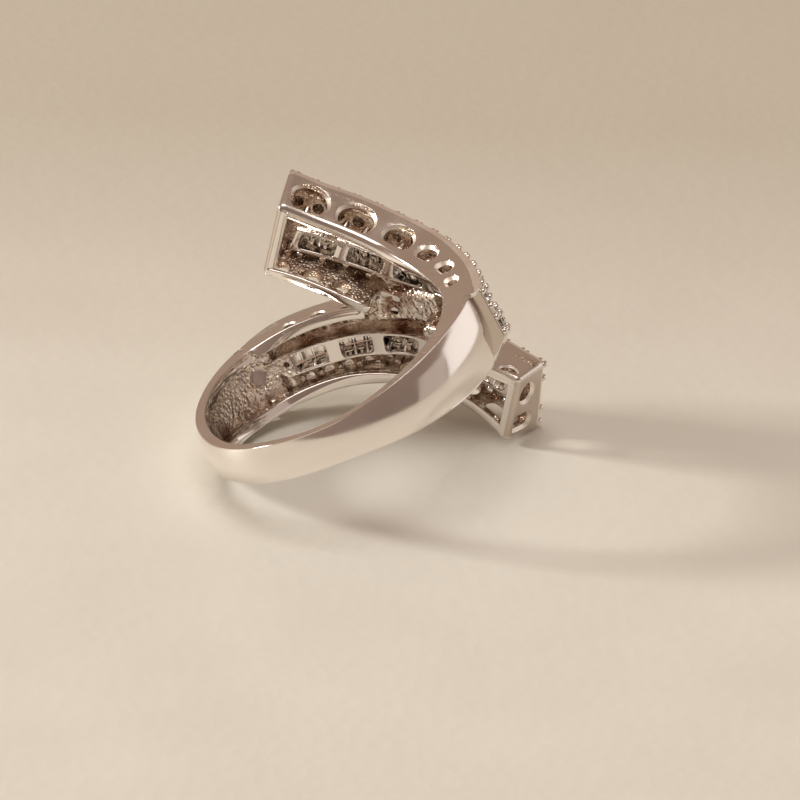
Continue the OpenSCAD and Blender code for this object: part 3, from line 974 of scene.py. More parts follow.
@dataclass(frozen=True)
class PaleSurface:
    """The pale surface under the ring, slightly grained, with painted shade that darkens it towards the back.
    """

    name: str = "pale_floor"
    light: Colour = (0.84, 0.83, 0.76)
    dark: Colour = (0.76, 0.75, 0.68)
    # Painted shade: the darker colour that the surface takes towards the back.
    far: Colour = (0.60, 0.56, 0.47)
    far_shade_run: float = 0.055
    grain: float = 1100.0
    grain_depth: float = 0.06
    cloud: float = 90.0

    def material(self, back: Vector) -> bpy.types.Material:
        """Builds the material and returns it.

        Args:
            back: Level direction from the ring to the camera.
        """
        coat = Coat(self.name)
        grain = coat.add("ShaderNodeTexVoronoi", {"Vector": coat.where, "Scale": self.grain})
        cloud = coat.noise(coat.where, self.cloud, 4.0)
        bump = coat.add("ShaderNodeBump", {"Height": grain.outputs["Distance"],
                                           "Distance": self.grain_depth * MM, "Strength": 0.35})
        away = coat.add("ShaderNodeVectorMath", {0: coat.where, 1: -back}, operation="DOT_PRODUCT")
        near = coat.blend(cloud, self.dark, self.light)
        # Painted shade: the colour darkens to the far colour a short way behind the ring.
        return coat.done(coat.blend(coat.ramp(away.outputs["Value"], 0.0, self.far_shade_run), near, self.far),
                         coat.ramp(cloud, 0.3, 0.7, 0.5, 0.65), bump)


class Finishes:
    """All finishes of the ring, built once."""

    def __init__(self) -> None:
        """Builds the shared effects and the materials."""
        handling, casting, clouding = handling_effect(), casting_effect(), cloud_effect()
        self.polished = Metal("polished_white_metal", (0.90, 0.86, 0.82), (0.84, 0.79, 0.75),
                              (0.07, 0.16), 60.0, 0.004).material(handling)
        self.buffed = Metal("buffed_shank_metal", (0.92, 0.88, 0.84), (0.86, 0.81, 0.77),
                            (0.11, 0.2), 45.0, 0.004).material(handling)
        self.satin = Metal("satin_side_metal", (0.80, 0.75, 0.71), (0.72, 0.67, 0.63),
                           (0.16, 0.30), 90.0, 0.006).material(handling)
        # The front satin is the side satin made darker: painted shade on the breast and on the end face of
        # the skin.
        self.front = Metal("satin_front_painted_shade", (0.66, 0.58, 0.51), (0.57, 0.50, 0.44),
                           (0.16, 0.30), 90.0, 0.006).material(handling)
        self.brushed = Metal("brushed_edge_metal", (0.97, 0.92, 0.85), (0.90, 0.84, 0.77),
                             (0.42, 0.55), 90.0, 0.006).material(handling)
        # The inner cast metal's dark and brown colours are partly its cast skin and partly painted shade of
        # the galleries inside the arms.
        self.cast = CastMetal("cast_inner_painted_shade_metal", (0.94, 0.84, 0.73), (0.40, 0.27, 0.19),
                              (0.36, 0.22, 0.15), (0.12, 0.34), 4600.0, 0.10).material(casting)
        # The shoulder cast metal's near-white colours are partly its cast skin and partly painted light that
        # brightens the scoops, the web and the rail sides.
        self.fire = CastMetal("cast_shoulder_painted_light_metal", (1.0, 0.97, 0.92), (0.90, 0.79, 0.68),
                              (0.30, 0.17, 0.12), (0.08, 0.24), 3600.0, 0.12, SMOOTH_SPOTS).material(casting)
        self.rounds = Stone("clear_round_stone", (1.0, 0.98, 0.96), (0.93, 0.88, 0.83),
                            1.95).material(clouding)
        self.baguettes = Stone("clear_baguette", (1.0, 0.97, 0.94), (0.90, 0.84, 0.77),
                               1.85).material(clouding)


def finish_piece(obj: bpy.types.Object, material: bpy.types.Material | None = None) -> bpy.types.Object:
    """Lays a finished piece down, smooths it and lets it ride on the ring.

    Args:
        obj: The piece, shaped about the finger axis in millimetres.
        material: Its finish, unless it is painted already.

    Returns:
        The piece.
    """
    move_points(obj, LAY.place)
    if material:
        obj.data.materials.append(material)
    activate(obj)
    bpy.ops.object.shade_smooth_by_angle(angle=math.radians(CRISP_ANGLE))
    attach(obj, "root")
    log.info("%s: %d faces", obj.name, len(obj.data.polygons))
    return obj


def half_turned(obj: bpy.types.Object, name: str) -> bpy.types.Object:
    """Returns a copy of a piece, with its own mesh, turned onto the other arm."""
    copy = obj.copy()
    copy.data = obj.data.copy()
    bpy.context.scene.collection.objects.link(copy)
    name_piece(copy, name)
    move_points(copy, lambda p: p * HALF_TURN)
    return copy


def finish_both(obj: bpy.types.Object, material: bpy.types.Material | None = None) -> None:
    """Finishes a piece of the upper arm and its half-turned copy on the lower arm."""
    other = half_turned(obj, obj.name.replace("upper", "lower"))
    for piece in (obj, other):
        finish_piece(piece, material)


def joined(objs: Sequence[bpy.types.Object], name: str) -> bpy.types.Object:
    """Joins meshes into one piece and returns it."""
    activate(objs[0])
    for obj in objs[1:]:
        obj.select_set(True)
    bpy.ops.object.join()
    return name_piece(bpy.context.object, name)


@dataclass(frozen=True)
class WallSpan:
    """One wall of the upper arm: its stretch of the unrolled side, how far its rim is
    drawn in, the heights of its foot and of its rim, and the bevel of its windows."""

    name: str
    start: float
    stop: float
    drawn_in: float
    foot: float
    rim: float
    bevel: float


@dataclass
class SideWalls:
    """The walls of the ring: a polished skin that runs all the way round, with
    windows in the arms, and the thicker cast wall behind it."""

    skin: float = 0.3
    skin_bevel: float = 0.03
    wall: float = 0.8
    wall_start: float = 0.03
    window_slack: float = -0.08
    window_bevel: float = 0.2
    small_bevel: float = 0.1
    skin_lap: float = 0.02
    wall_top: float = 0.74
    window_polish: float = -0.12
    level_from: float = 0.9
    wall_corner: float = 0.3
    wall_slack: float = 0.1
    rim_gap: float = 0.004
    rim_start: float = 0.1
    rim_bevel: float = 0.1
    rim_follows: float = 0.8
    round_small: float = 0.13
    round_lower: float = 0.2
    round_large: float = 0.42
    soft_from: float = 2.4
    soft_to: float = 4.8
    soft_behind_end: float = 0.8
    step: float = 0.25
    crossing_y: float = 1.86
    crossing: tuple[float, float] = (3.1, 4.72)
    crossing_slope: float = 0.5
    wall_from: float = 126.0
    chamfer_w: float = 0.48
    chamfer_slope: float = 0.36
    lean_run: float = 1.5
    step_clear: float = 0.2
    step_pair: tuple[float, float] = (0.02, 0.1)
    step_tops: tuple[float, float] = (-0.05, 0.6)
    step_behind: float = 0.3
    under_dome: float = 0.06
    over: float = 0.6
    skin_face: float = 0.004
    corner_cuts: int = 7
    round_cuts: tuple[float, ...] = (0.14, 0.32, 0.55, 1.0)
    skin_longest: float = 0.7
    wall_longest: float = 0.9

    def bottom(self, path: SidePath, x: np.ndarray) -> np.ndarray:
        """Returns the lower outline, which rises where the arms are joined."""
        a = path.along(Side.LOWER, self.crossing[1])
        b = path.along(Side.LOWER, self.crossing[0])
        rise = (np.clip((x - a) / self.crossing_slope + 0.5, 0, 1)
                * np.clip((b - x) / self.crossing_slope + 0.5, 0, 1))
        return self.crossing_y * rise * rise * (3 - 2 * rise)

    def windows(self, path: SidePath, in_skin: bool) -> dict[str, list[Outline]]:
        """Returns the window outlines by wall.

        Args:
            path: The unrolled side.
            in_skin: Whether they are cut in the skin, round the walls' bevelled windows.

        Returns:
            Outlines for the upper, lower and end wall.
        """
        large, small = (self.window_slack + in_skin * (2 * bevel - self.skin_lap)
                        for bevel in (self.window_bevel, self.small_bevel))
        found: dict[str, list[Outline]] = {"upper": [], "lower": [], "end": []}
        for side, name, rows in ((Side.UPPER, "upper", UPPER_WINDOWS), (Side.LOWER, "lower", LOWER_WINDOWS)):
            grow = large if side is Side.UPPER else small
            for t, h, width, height in rows:
                x = path.along(side, t)
                found[name].append(half_moon(width + grow, height + grow, (x, h * float(path.depth(x)))))
        for w, h, width, height in END_WINDOWS:
            x = float(np.interp(w, path.end_w, path.end_x))
            found["end"].append(half_moon(width + large, height + large, (x, h * float(path.depth(x)))))
        return found

    def outline(self, path: SidePath, start: float, stop: float, top: Line, drop: float,
                behind: float = 0.0) -> Outline:
        """Returns the outline of a wall between two places of the unrolled side.

        Args:
            path: The unrolled side.
            start: Where the wall begins.
            stop: Where it ends.
            top: Gives the height of the wall.
            drop: How far the wall reaches below its nominal lower line.
            behind: How far its step lies behind the front of the arm.

        Returns:
            The corners of the outline.
        """
        x = np.linspace(start, stop, int((stop - start) / self.step))
        high = top(x)
        for step, way in ((path.marks["upper_step"], -1), (path.marks["lower_step"], 1)):
            mark = step - way * behind
            if start < mark < stop:
                keep = np.abs(x - mark - way * self.step_pair[1]) > self.step_clear
                pair = mark + way * np.array(self.step_pair)
                tops = top(step + way * np.array(self.step_tops))
                high = np.where((x - mark) * way > 0, np.minimum(high, tops[1] + 0 * x), high)
                x, high = np.concatenate([x[keep], pair]), np.concatenate([high[keep], tops])
                order = np.argsort(x)
                x, high = x[order], high[order]
        low = self.bottom(path, x) - drop
        return list(zip(x, low)) + list(zip(x[::-1], high[::-1]))

    def round_r(self, path: SidePath, x: np.ndarray) -> np.ndarray:
        """Finds the radius of the wall's inner edge, which is softer towards the free end.

        Args:
            path: The unrolled side.
            x: Places along it.

        Returns:
            The radius at each place.
        """
        a, b = path.along(Side.UPPER, self.soft_from), path.along(Side.UPPER, self.soft_to)
        c, d = path.along(Side.LOWER, self.soft_to), path.along(Side.LOWER, self.soft_from)
        marks = path.marks
        places = [a, (a + b) / 2, b, marks["end_stop"], marks["lower_end"] + self.soft_behind_end, c, d]
        middle = (self.round_small + self.round_large) / 2
        sizes = [self.round_small, middle, self.round_large, self.round_large,
                 self.round_lower, self.round_lower, self.round_small]
        return np.interp(x, places, sizes)

    def shaped(self, path: SidePath, p: np.ndarray) -> np.ndarray:
        """Leans the outer edge of the arms' walls inwards, rounds the inner edge of the
        skin and sets its face on the side.

        Args:
            path: The unrolled side.
            p: Points of the flat skin.

        Returns:
            The moved points, still flat.
        """
        x, y = p[:, 0], p[:, 1]
        marks = path.marks
        arm = (np.clip((x - marks["upper_step"]) / self.lean_run, 0, 1)
               * np.clip((marks["lower_step"] - x) / self.lean_run, 0, 1))
        lean = np.clip(y - (path.depth(x) - self.chamfer_w), 0, None) * self.chamfer_slope * arm
        r = self.round_r(path, x)
        in_round = np.clip(r - (y - self.bottom(path, x)), 0, r)
        fall = r - np.sqrt(np.clip(r * r - in_round * in_round, 0, None))
        return p + np.column_stack([0 * x, 0 * x, lean + fall + self.skin / 2])

    def build_skin(self, finishes: Finishes) -> bpy.types.Object:
        """Models half of the skin flat, bends it, and joins it to its half-turned copy.

        Args:
            finishes: The finishes of the ring.

        Returns:
            The whole skin.
        """
        path = SidePath()
        stop = path.marks["back"]
        holes = [window for row in self.windows(path, True).values() for window in row]
        line = self.outline(path, -self.over, stop + self.over, path.depth, 0.0)
        obj = flat_plate("side_skin", line, holes, self.skin, self.skin_bevel, self.skin_longest)
        for a, b in (("upper_end", "end_start"), ("end_stop", "lower_end")):
            cut_at(obj, 0, np.linspace(path.marks[a], path.marks[b], self.corner_cuts))
        face = -self.skin / 2 + self.skin_face
        crease(obj, path.kink_line)
        crease(obj, lambda x: path.depth(x) - self.chamfer_w)
        for share in self.round_cuts:
            crease(obj, lambda x: self.bottom(path, x) + share * self.round_r(path, x))

        def choose(c: np.ndarray, n: np.ndarray) -> np.ndarray:
            """Picks satin for the face, a darker satin with painted shade for the end face,
            brushed metal for the outer edge and polish for the rest."""
            on_arm = (c[:, 0] > path.marks["upper_step"]) & (c[:, 0] < path.marks["lower_step"])
            outer = (c[:, 1] > path.depth(c[:, 0]) - self.chamfer_w) & on_arm
            end = (c[:, 0] > path.marks["end_start"]) & (c[:, 0] < path.marks["end_stop"])
            return np.where(outer, 2, np.where(c[:, 2] > face, 1, np.where(end, 3, 0)))

        paint(obj, [finishes.satin, finishes.polished, finishes.brushed, finishes.front], choose)
        along = Vector((1, 0, 0))
        with editing(obj):
            for x, outer in ((0.0, False), (stop, True)):
                cut(along * x, along, use_fill=True, clear_inner=not outer, clear_outer=outer)
        bent(obj, lambda p: path.bend(self.shaped(path, p)))
        return joined([obj, half_turned(obj, "side_skin_half")], "side_skin")

    def rim_place(self, path: SidePath, p: np.ndarray, rim: float) -> np.ndarray:
        """Fits the flat rim between the rounded skin and the inner face of the wall."""
        start = self.rim_start + self.rim_follows * (self.round_r(path, p[:, 0]) - self.round_small)
        z = start + (p[:, 2] / rim + 0.5) * (self.wall - start)
        return np.column_stack([p[:, 0], p[:, 1], z])

    def build_walls(self, finishes: Finishes) -> list[bpy.types.Object]:
        """Models the cast walls of the upper arm and their polished rims.

        Args:
            finishes: The finishes of the ring.

        Returns:
            A wall and a rim for the upper side, the end and the lower side.
        """
        path = SidePath(corner=self.wall_corner)
        thick = self.wall - self.wall_start
        start = float(np.interp(self.wall_from, path.shank_angle, path.shank_x))
        stop = float(np.interp(self.wall_from, path.back_angle, path.back_x))
        marks, slack = path.marks, self.wall_slack

        def top(x: np.ndarray) -> np.ndarray:
            """Returns the upper outline: under the dome, and under the stones."""
            in_arm = (x > marks["upper_step"] - slack) & (x < marks["lower_step"] + slack)
            return np.where(in_arm, path.depth(x) * self.wall_top, path.depth(x) - self.under_dome)

        rows = self.windows(path, False)
        rim = self.wall - self.rim_start
        large, small = self.window_bevel, self.small_bevel
        made = []
        for span in (
            WallSpan("upper", start, marks["upper_end"], 1.0, 0.3, 0.52, large),
            WallSpan("end", marks["end_start"] - slack, marks["end_stop"] + slack, 2.0, 0.3, 0.6, large),
            WallSpan("lower", marks["lower_end"], stop, 1.0, 0.14, 0.24, small),
        ):
            line = self.outline(path, span.start, span.stop, top, -span.foot, self.step_behind)
            wall = flat_plate(f"{span.name}_wall", line, rows[span.name], thick, span.bevel,
                              self.wall_longest, 0)
            crease(wall, path.kink_line)
            # The walls' cast finish is dark partly as painted shade inside the arm.
            paint(wall, [finishes.cast, finishes.brushed],
                  lambda c, n: (c[:, 2] < self.window_polish) & (np.abs(n[:, 2]) < self.level_from))
            made.append(bent(wall, lambda p: path.bend(p + np.array([0, 0, self.wall_start + thick / 2]))))
            line = self.outline(path, span.start, span.stop, lambda x: self.bottom(path, x) + span.rim,
                                self.rim_gap * span.drawn_in)
            edge = flat_plate(f"{span.name}_rim", line, [], rim, self.rim_bevel, self.wall_longest)
            paint(edge, [finishes.polished], lambda c, n: 0 * c[:, 2])
            made.append(bent(edge, lambda p: path.bend(self.rim_place(path, p, rim))))
        return made

    def make(self, finishes: Finishes) -> None:
        """Builds and dresses the skin and the walls."""
        finish_piece(self.build_skin(finishes))
        finish_both(joined(self.build_walls(finishes), "upper_arm_walls"))


@dataclass
class ShankBody:
    """The half-round shank between the side skins, scooped inside the shoulders."""

    scoop_depth: float = 1.2
    edge: float = 0.07
    inner_edge: float = 0.16
    proud: float = 0.004
    dome_under: float = 0.005
    arm_from: float = 66.5
    arm_rows: tuple[tuple[float, float], tuple[float, float]] = ((-66.0, -44.0), (0.0, 1.45))
    arm_top: float = 2.7
    bowl_w: float = 0.9
    bowl_share: float = 0.18
    ramp_from: float = 57.5
    ramp_run: float = 3.5
    ramp_rise: float = 0.65
    scoop_end: float = 121.0
    stations: int = 300
    dome_points: int = 24
    inner_points: int = 12

    def section(self, angle: np.ndarray, v: np.ndarray) -> np.ndarray:
        """Returns points of the body's surface.

        Args:
            angle: Angle of each point, from the head over the back, up to 360 degrees.
            v: Place of each point round the cross-section, from 0 to 1.

        Returns:
            Points about the finger axis.
        """
        turned = angle > 180
        a = np.where(turned, 360 - angle, angle)
        rows = smooth(SHANK, self.station(a))
        c = smooth(ARM, np.interp(-a, *self.arm_rows))
        in_arm = a < self.arm_from
        top = np.where(in_arm, np.minimum(c[:, 0, 2], self.arm_top), rows[:, 1])
        low = np.where(in_arm, c[:, 1, 2], rows[:, 2])
        upper_r = np.where(in_arm, SHANK[-1, 3], rows[:, 3])
        lower_r = np.where(in_arm, SHANK[-1, 4], rows[:, 4])
        rise = rows[:, 5]
        outer_share = self.dome_points / (self.dome_points + self.inner_points)
        on_dome = v < outer_share
        k = np.where(on_dome, v / outer_share, (v - outer_share) / (1 - outer_share))
        width = top - low
        k = np.where(turned, 1 - k, k)
        dome_edge = self.edge / width
        w = dome_edge + (1 - 2 * dome_edge) * k
        r_out = upper_r * (1 - w) + lower_r * w + rise * 4 * w * (1 - w) - self.dome_under
        z_out = top - w * width
        inset = self.inner_edge / width
        w_in = 1 - (inset + (1 - 2 * inset) * k)
        depth = np.interp(a, SCOOP[:, 0], SCOOP[:, 1]) * self.scoop_depth
        bowl = np.clip(np.minimum(w_in, 1 - w_in) * width / self.bowl_w, 0, 1)
        ramp = np.clip((self.ramp_from - a) / self.ramp_run, 0, 1) * self.ramp_rise
        r_in = BORE_R - self.proud + depth * (1 - self.bowl_share + self.bowl_share * bowl) + ramp
        z_in = top - w_in * width
        r = np.where(on_dome, r_out, r_in)
        z = np.where(on_dome, z_out, z_in)
        p = around(np.stack([a, r, z], -1))
        return np.where(turned[:, None], p * HALF_TURN, p)

    def station(self, angle: np.ndarray) -> np.ndarray:
        """Returns the place in rows of SHANK at an angle, on its smooth curve."""
        u = np.linspace(0, SHANK_END, 400)
        return np.interp(angle, smooth(SHANK, u)[::-1, 0], u[::-1])

    def make(self, finishes: Finishes) -> bpy.types.Object:
        """Models the body from a long grid that is rolled up and closed at its ends.

        Args:
            finishes: The finishes of the ring.

        Returns:
            The dressed body.
        """
        first = STEP_ANGLE - math.degrees(RAIL_START / (BORE_R + self.scoop_depth))
        round_points = self.dome_points + self.inner_points
        bpy.ops.object.select_all(action="DESELECT")
        bpy.ops.mesh.primitive_grid_add(x_subdivisions=self.stations, y_subdivisions=round_points - 1, size=2)
        obj = name_piece(bpy.context.object, "shank_body")
        with editing(obj):
            pick(obj, Part.EDGES,
                 lambda e: e.is_boundary and all(abs(abs(v.co.y) - 1) < 1e-6 for v in e.verts))
            bpy.ops.mesh.bridge_edge_loops()

        def roll(p: np.ndarray) -> np.ndarray:
            """Carries the grid onto the body's surface."""
            angle = first + (p[:, 0] + 1) / 2 * (360 - 2 * first)
            return self.section(angle, (p[:, 1] + 1) / 2)

        flat = points_of(obj)
        move_points(obj, roll)
        for end in (-1, 1):
            with editing(obj):
                bpy.ops.mesh.select_mode(type="VERT")
                pick(obj, Part.POINTS, lambda v: abs(flat[v.index, 0] - end) < 1e-5)
                bpy.ops.mesh.edge_face_add()
        tidy_mesh(obj)
        # The scoops' cast finish is near-white partly as painted light.
        for material in (finishes.buffed, finishes.fire):
            obj.data.materials.append(material)
        self.paint_scoops(finish_piece(obj))
        return obj

    def paint_scoops(self, obj: bpy.types.Object) -> None:
        """Gives the scooped inside of the laid body's shoulders its cast finish."""
        for polygon in obj.data.polygons:
            p = (np.array(polygon.center) / MM - np.array(LAY.middle)) @ LAY.axes
            angle = abs(math.degrees(math.atan2(p[0], p[1])))
            outward = np.array(polygon.normal) @ LAY.axes @ np.array([p[0], p[1], 0])
            if angle < self.scoop_end and outward < 0:
                polygon.material_index = 1


@dataclass
class StonePlates:
    """The plates under the stones, the rails and bars, the front of the arm and the
    web over the crossing."""

    skin_in: float = 0.2
    seat_top: float = 0.14
    seat_low: float = 0.62
    plate_low: float = 0.66
    rail_gap: float = 1.2
    rail_wall: float = 0.22
    rail_top: float = 0.12
    rail_point: float = 1.0
    rail_h: float = 1.6
    rail_longest: float = 0.45
    front_bar: float = 0.3
    grained_steep: float = 0.6
    grained_depth: float = 0.03
    slot_l: float = 2.7
    slot_soft: float = 0.28
    slot_slack: tuple[float, float] = (0.1, 0.14)
    slot_corner: float = 0.1
    groups: tuple[float, ...] = (4.65, 8.52, 12.22, 15.76, 19.40)
    azure_d: float = 0.8
    azure_lap: float = 0.05
    gap_hole: float = 0.26
    gap_hole_in: float = 0.35
    gap_hole_soft: float = 0.05
    row_stones: int = 14
    row_edge: float = 0.95
    row_end: float = 1.0
    web_r: float = 10.3
    web_spread: float = 0.9
    web_rise: float = 0.95
    ladder_end: float = 0.45
    dimple_d: float = 0.4
    dimple_at: tuple[float, float] = (2.62, -0.12)
    hole_d: float = 1.24
    soft: float = 0.06
    longest: float = 0.7
    edge_points: int = 90
    breast_thick: float = 0.5
    breast_inset: float = 0.03
    breast_h: float = 2.75
    breast_back: float = 0.2
    breast_foot: tuple[tuple[float, float], tuple[float, float]] = ((0.6, 0.3), (0.9, 0.56))
    web_thick: float = 1.0
    web_hole_d: float = 0.5
    web_step: float = 0.2
    web_early: float = 0.25
    web_thinning: float = 0.5
    corner_angle: float = -12.4
    corner_z: float = 1.42
    corner_d: float = 0.9
    corner_l: float = 1.9
    corner_soft: float = 0.3
    corner_proud: float = 0.01

    def row_offset(self, t: np.ndarray, side: Side) -> np.ndarray:
        """Returns how far a row of round stones lies from the middle line."""
        sign = 1 if side is Side.UPPER else -1
        return sign * (ARM_FORM.width(t, 1 + 0 * t) / 2 - self.row_edge)

    def row_places(self, side: Side) -> np.ndarray:
        """Returns the places of the stones of one row, evenly spaced along it."""
        t = np.linspace(0, ARM_END, 81)
        line = ARM_FORM.beside(t, self.row_offset(t, side), 1 + 0 * t)
        s = np.concatenate([[0], np.cumsum(np.linalg.norm(np.diff(line, axis=0), axis=1))])
        return np.interp(np.linspace(self.row_end, s[-1] - self.row_end, self.row_stones), s, t)

    def sheet(self, p: np.ndarray, high: Line, low: Line, filled: bool = True) -> np.ndarray:
        """Bends flat points onto the arm.

        Args:
            p: Points with X along, Y across and Z from 0 at the top to -1 at the bottom.
            high: Gives the height of the plate's top at t, as a share of the depth.
            low: Gives the height of its underside.
            filled: Whether it follows the corner in the lower side.

        Returns:
            Points about the finger axis.
        """
        t = ARM_FORM.squared(p[:, 0], p[:, 1])
        h = high(t) + (low(t) - high(t)) * -p[:, 2]
        w = ARM_FORM.middle(t, h) + p[:, 1] / ARM_FORM.width(t, h)
        if filled:
            return ARM_FORM.filled(t, w, h)
        return ARM_FORM.point(t, w, h)

    def cover_outline(self, inset: float) -> Outline:
        """Draws a plate that fills the arm inside its skin.

        Args:
            inset: Distance of its edges from the arm's sides.

        Returns:
            The corners of the outline.
        """
        t = ARM_FORM.place(np.linspace(0, ARM_FORM.length, self.edge_points))
        sides = []
        for sign in (-1, 1):
            y = sign * (ARM_FORM.width(t, 1 + 0 * t) / 2 - inset)
            side = [ARM_FORM.flat_place(float(a), float(b)) for a, b in zip(t, y)]
            (x0, y0), (x1, y1) = side[0], side[-1]
            side[0], side[-1] = (x0 + inset, y0), (x1 - inset, y1)
            sides.append(side)
        return sides[0] + sides[1][::-1]

    def stone_holes(self, d: float) -> list[Outline]:
        """Returns a hole for each round stone of the arm."""
        holes = []
        for side in Side:
            for t in self.row_places(side):
                y = float(self.row_offset(np.array(t), side))
                holes.append(circle(d, ARM_FORM.flat_place(float(t), y)))
        return holes

    def channel(self) -> list[Outline]:
        """Returns the long slots for the baguettes, one for each group."""
        return [slot_outline(self.slot_l, self.rail_gap, (m, 0.0), self.slot_soft) for m in self.groups]

    def gap_holes(self) -> list[Outline]:
        """Returns the small square holes between the stones of the lower row."""
        row = self.row_places(Side.LOWER)
        holes = []
        for a, b in zip(row[2:7], row[3:8]):
            t = (a + b) / 2
            y = float(self.row_offset(np.array(t), Side.LOWER)) + self.gap_hole_in
            holes.append(slot_outline(self.gap_hole, self.gap_hole, ARM_FORM.flat_place(float(t), y),
                                      self.gap_hole_soft))
        return holes

    def plate(self, name: str, hole_d: float, high: Line, low: Line,
              extra: list[Outline]) -> bpy.types.Object:
        """Models a plate of the upper arm, with slots for the baguettes.

        Args:
            name: Name of the plate.
            hole_d: Diameter of the hole below each round stone.
            high: Gives the height of its top at t, as a share of the arm's depth.
            low: Gives the height of its underside.
            extra: Outlines of its other holes.

        Returns:
            The bent plate.
        """
        longer, wider = self.slot_slack
        slots = [slot_outline(self.slot_l + longer, self.rail_gap + wider, (m, 0.0), self.slot_corner)
                 for m in self.groups]
        holes = self.stone_holes(hole_d) + slots + extra
        flat_h = 1.0
        obj = flat_plate(name, self.cover_outline(self.skin_in), holes, flat_h, self.soft, self.longest)
        return bent(obj, lambda p: self.sheet(p - np.array([0, 0, flat_h / 2]), high, low))

    def ladder(self, finishes: Finishes) -> bpy.types.Object:
        """Models the two rails with the bars between the groups of baguettes.

        Args:
            finishes: The finishes of the ring.

        Returns:
            The bent rails.
        """
        a, b = RAIL_START, self.groups[-1] + self.slot_l / 2 + self.ladder_end
        reach = self.rail_gap / 2 + self.rail_wall
        early = np.linspace(a - self.rail_point, b, self.edge_points)
        late = np.linspace(a, b, self.edge_points)
        line = [(x, -reach) for x in early] + [(x, reach) for x in late[::-1]]
        dimple = circle(self.dimple_d, self.dimple_at, 16)
        obj = flat_plate("upper_arm_rails", line, [*self.channel(), dimple], self.rail_h, self.soft,
                         self.rail_longest)
        front = self.groups[0] - self.slot_l / 2 - self.front_bar
        side = reach - self.grained_depth
        paint(obj, [finishes.polished, finishes.fire], lambda c, n: (c[:, 0] < front)
              | ((np.abs(n[:, 1]) > self.grained_steep) & (np.abs(c[:, 1]) > side)))

        def bend(p: np.ndarray) -> np.ndarray:
            """Bends the rails, from their lower edge to just below the top."""
            q = np.column_stack([p[:, 0], p[:, 1], p[:, 2] / self.rail_h - 0.5])
            return self.sheet(q, lambda t: 1 - self.rail_top / ARM_FORM.depth(t),
                              lambda t: ARM_FORM.rail_low + 0 * t, False)

        return bent(obj, bend)

    def breast(self) -> bpy.types.Object:
        """Models the plain front of the arm, above the step."""
        form, tall = ARM_FORM, self.breast_h
        start, middle, top = np.array(0.0), np.array(0.5), np.array(1.0)
        wide = float(form.width(start, top))
        y = np.linspace(self.breast_inset, wide - self.breast_inset, 24)
        (side, low), (inner, high) = self.breast_foot
        foot = np.interp(y, [side, inner, wide - inner, wide - side], [low, high, high, low])
        line = [(a, b * tall) for a, b in zip(y, foot)] + [(a, tall) for a in y[::-1]]
        obj = flat_plate("upper_arm_breast", line, [], self.breast_thick, 0.1, 0.4)
        row = 0.1
        ahead = form.point(start + row, middle, top) - form.point(start, middle, top)
        step = row / float(np.linalg.norm(ahead))

        def bend(p: np.ndarray) -> np.ndarray:
            """Stands the plate up across the start of the arm."""
            return form.filled((p[:, 2] + self.breast_back) * step, p[:, 0] / wide, p[:, 1] / tall)

        return bent(obj, bend)

    def web(self) -> bpy.types.Object:
        """Models the web that spans the crossing: a saddle that runs out into the plates
        of both arms, with its drilled holes."""
        r, spread = self.web_r, self.web_spread
        a = np.linspace(WEB[0, 0], WEB[-1, 0], 30)
        arc = np.radians(a) * r
        low, high = (np.interp(a, WEB[:, 0], WEB[:, k]) for k in (1, 2))
        line = list(zip(arc, low - spread)) + list(zip(arc[::-1], high[::-1] + spread))
        holes = [circle(self.web_hole_d, (math.radians(angle) * r, z), 16) for angle, z in WEB_HOLES]
        obj = flat_plate("crossing_web", line, holes, self.web_thick, 0.1, 0.3)
        slice_up(obj, 1, self.web_step)

        def bend(p: np.ndarray) -> np.ndarray:
            """Rolls the web about the finger axis and lifts its two edges."""
            beyond = np.maximum(np.interp(p[:, 0], arc, low) - p[:, 1],
                                p[:, 1] - np.interp(p[:, 0], arc, high))
            share = np.clip(beyond / spread + self.web_early, 0, 1)
            rise = share * share * (3 - 2 * share)
            thin = 1 - self.web_thinning * rise
            height = r + self.web_rise * rise + (p[:, 2] + self.web_thick / 2) * thin
            return around(np.stack([np.degrees(p[:, 0] / r), height, p[:, 1]], -1))

        return bent(obj, bend)

    def crossing_corners(self) -> bpy.types.Object:
        """Models the rounded corners in which the inner rims of both arms meet."""
        template = rod(self.corner_d, self.corner_l, self.corner_soft)
        point = around(np.array([self.corner_angle, BORE_R - self.corner_proud, self.corner_z]))
        out = unit(point * np.array([1.0, 1.0, 0.0]))
        axes = np.stack([np.cross([0.0, 0.0, 1.0], out), [0.0, 0.0, 1.0], out], -1)
        turned = np.diag(HALF_TURN)
        return scatter("crossing_corners", template, [(point, axes), (turned @ point, turned @ axes)])

    def make(self, finishes: Finishes) -> None:
        """Builds and dresses the plates of both arms and the web.

        Args:
            finishes: The finishes of the ring.
        """
        depth = ARM_FORM.depth
        seats = self.plate("upper_arm_seats", self.hole_d, lambda t: 1 - self.seat_top / depth(t),
                           lambda t: 1 - self.seat_low / depth(t), [])
        # The azure plate lies deep in the arm; its cast finish is dark partly as painted shade.
        azures = self.plate("upper_arm_azures", self.azure_d,
                            lambda t: 1 - (self.seat_low - self.azure_lap) / depth(t),
                            lambda t: self.plate_low + 0 * t, self.gap_holes())
        rails = self.ladder(finishes)
        breast = self.breast()
        # The breast's front satin is darker as painted shade.
        for obj, finish in ((seats, finishes.polished), (azures, finishes.cast), (rails, None),
                            (breast, finishes.front)):
            finish_both(obj, finish)
        finish_piece(self.web(), finishes.fire)
        finish_piece(self.crossing_corners(), finishes.polished)


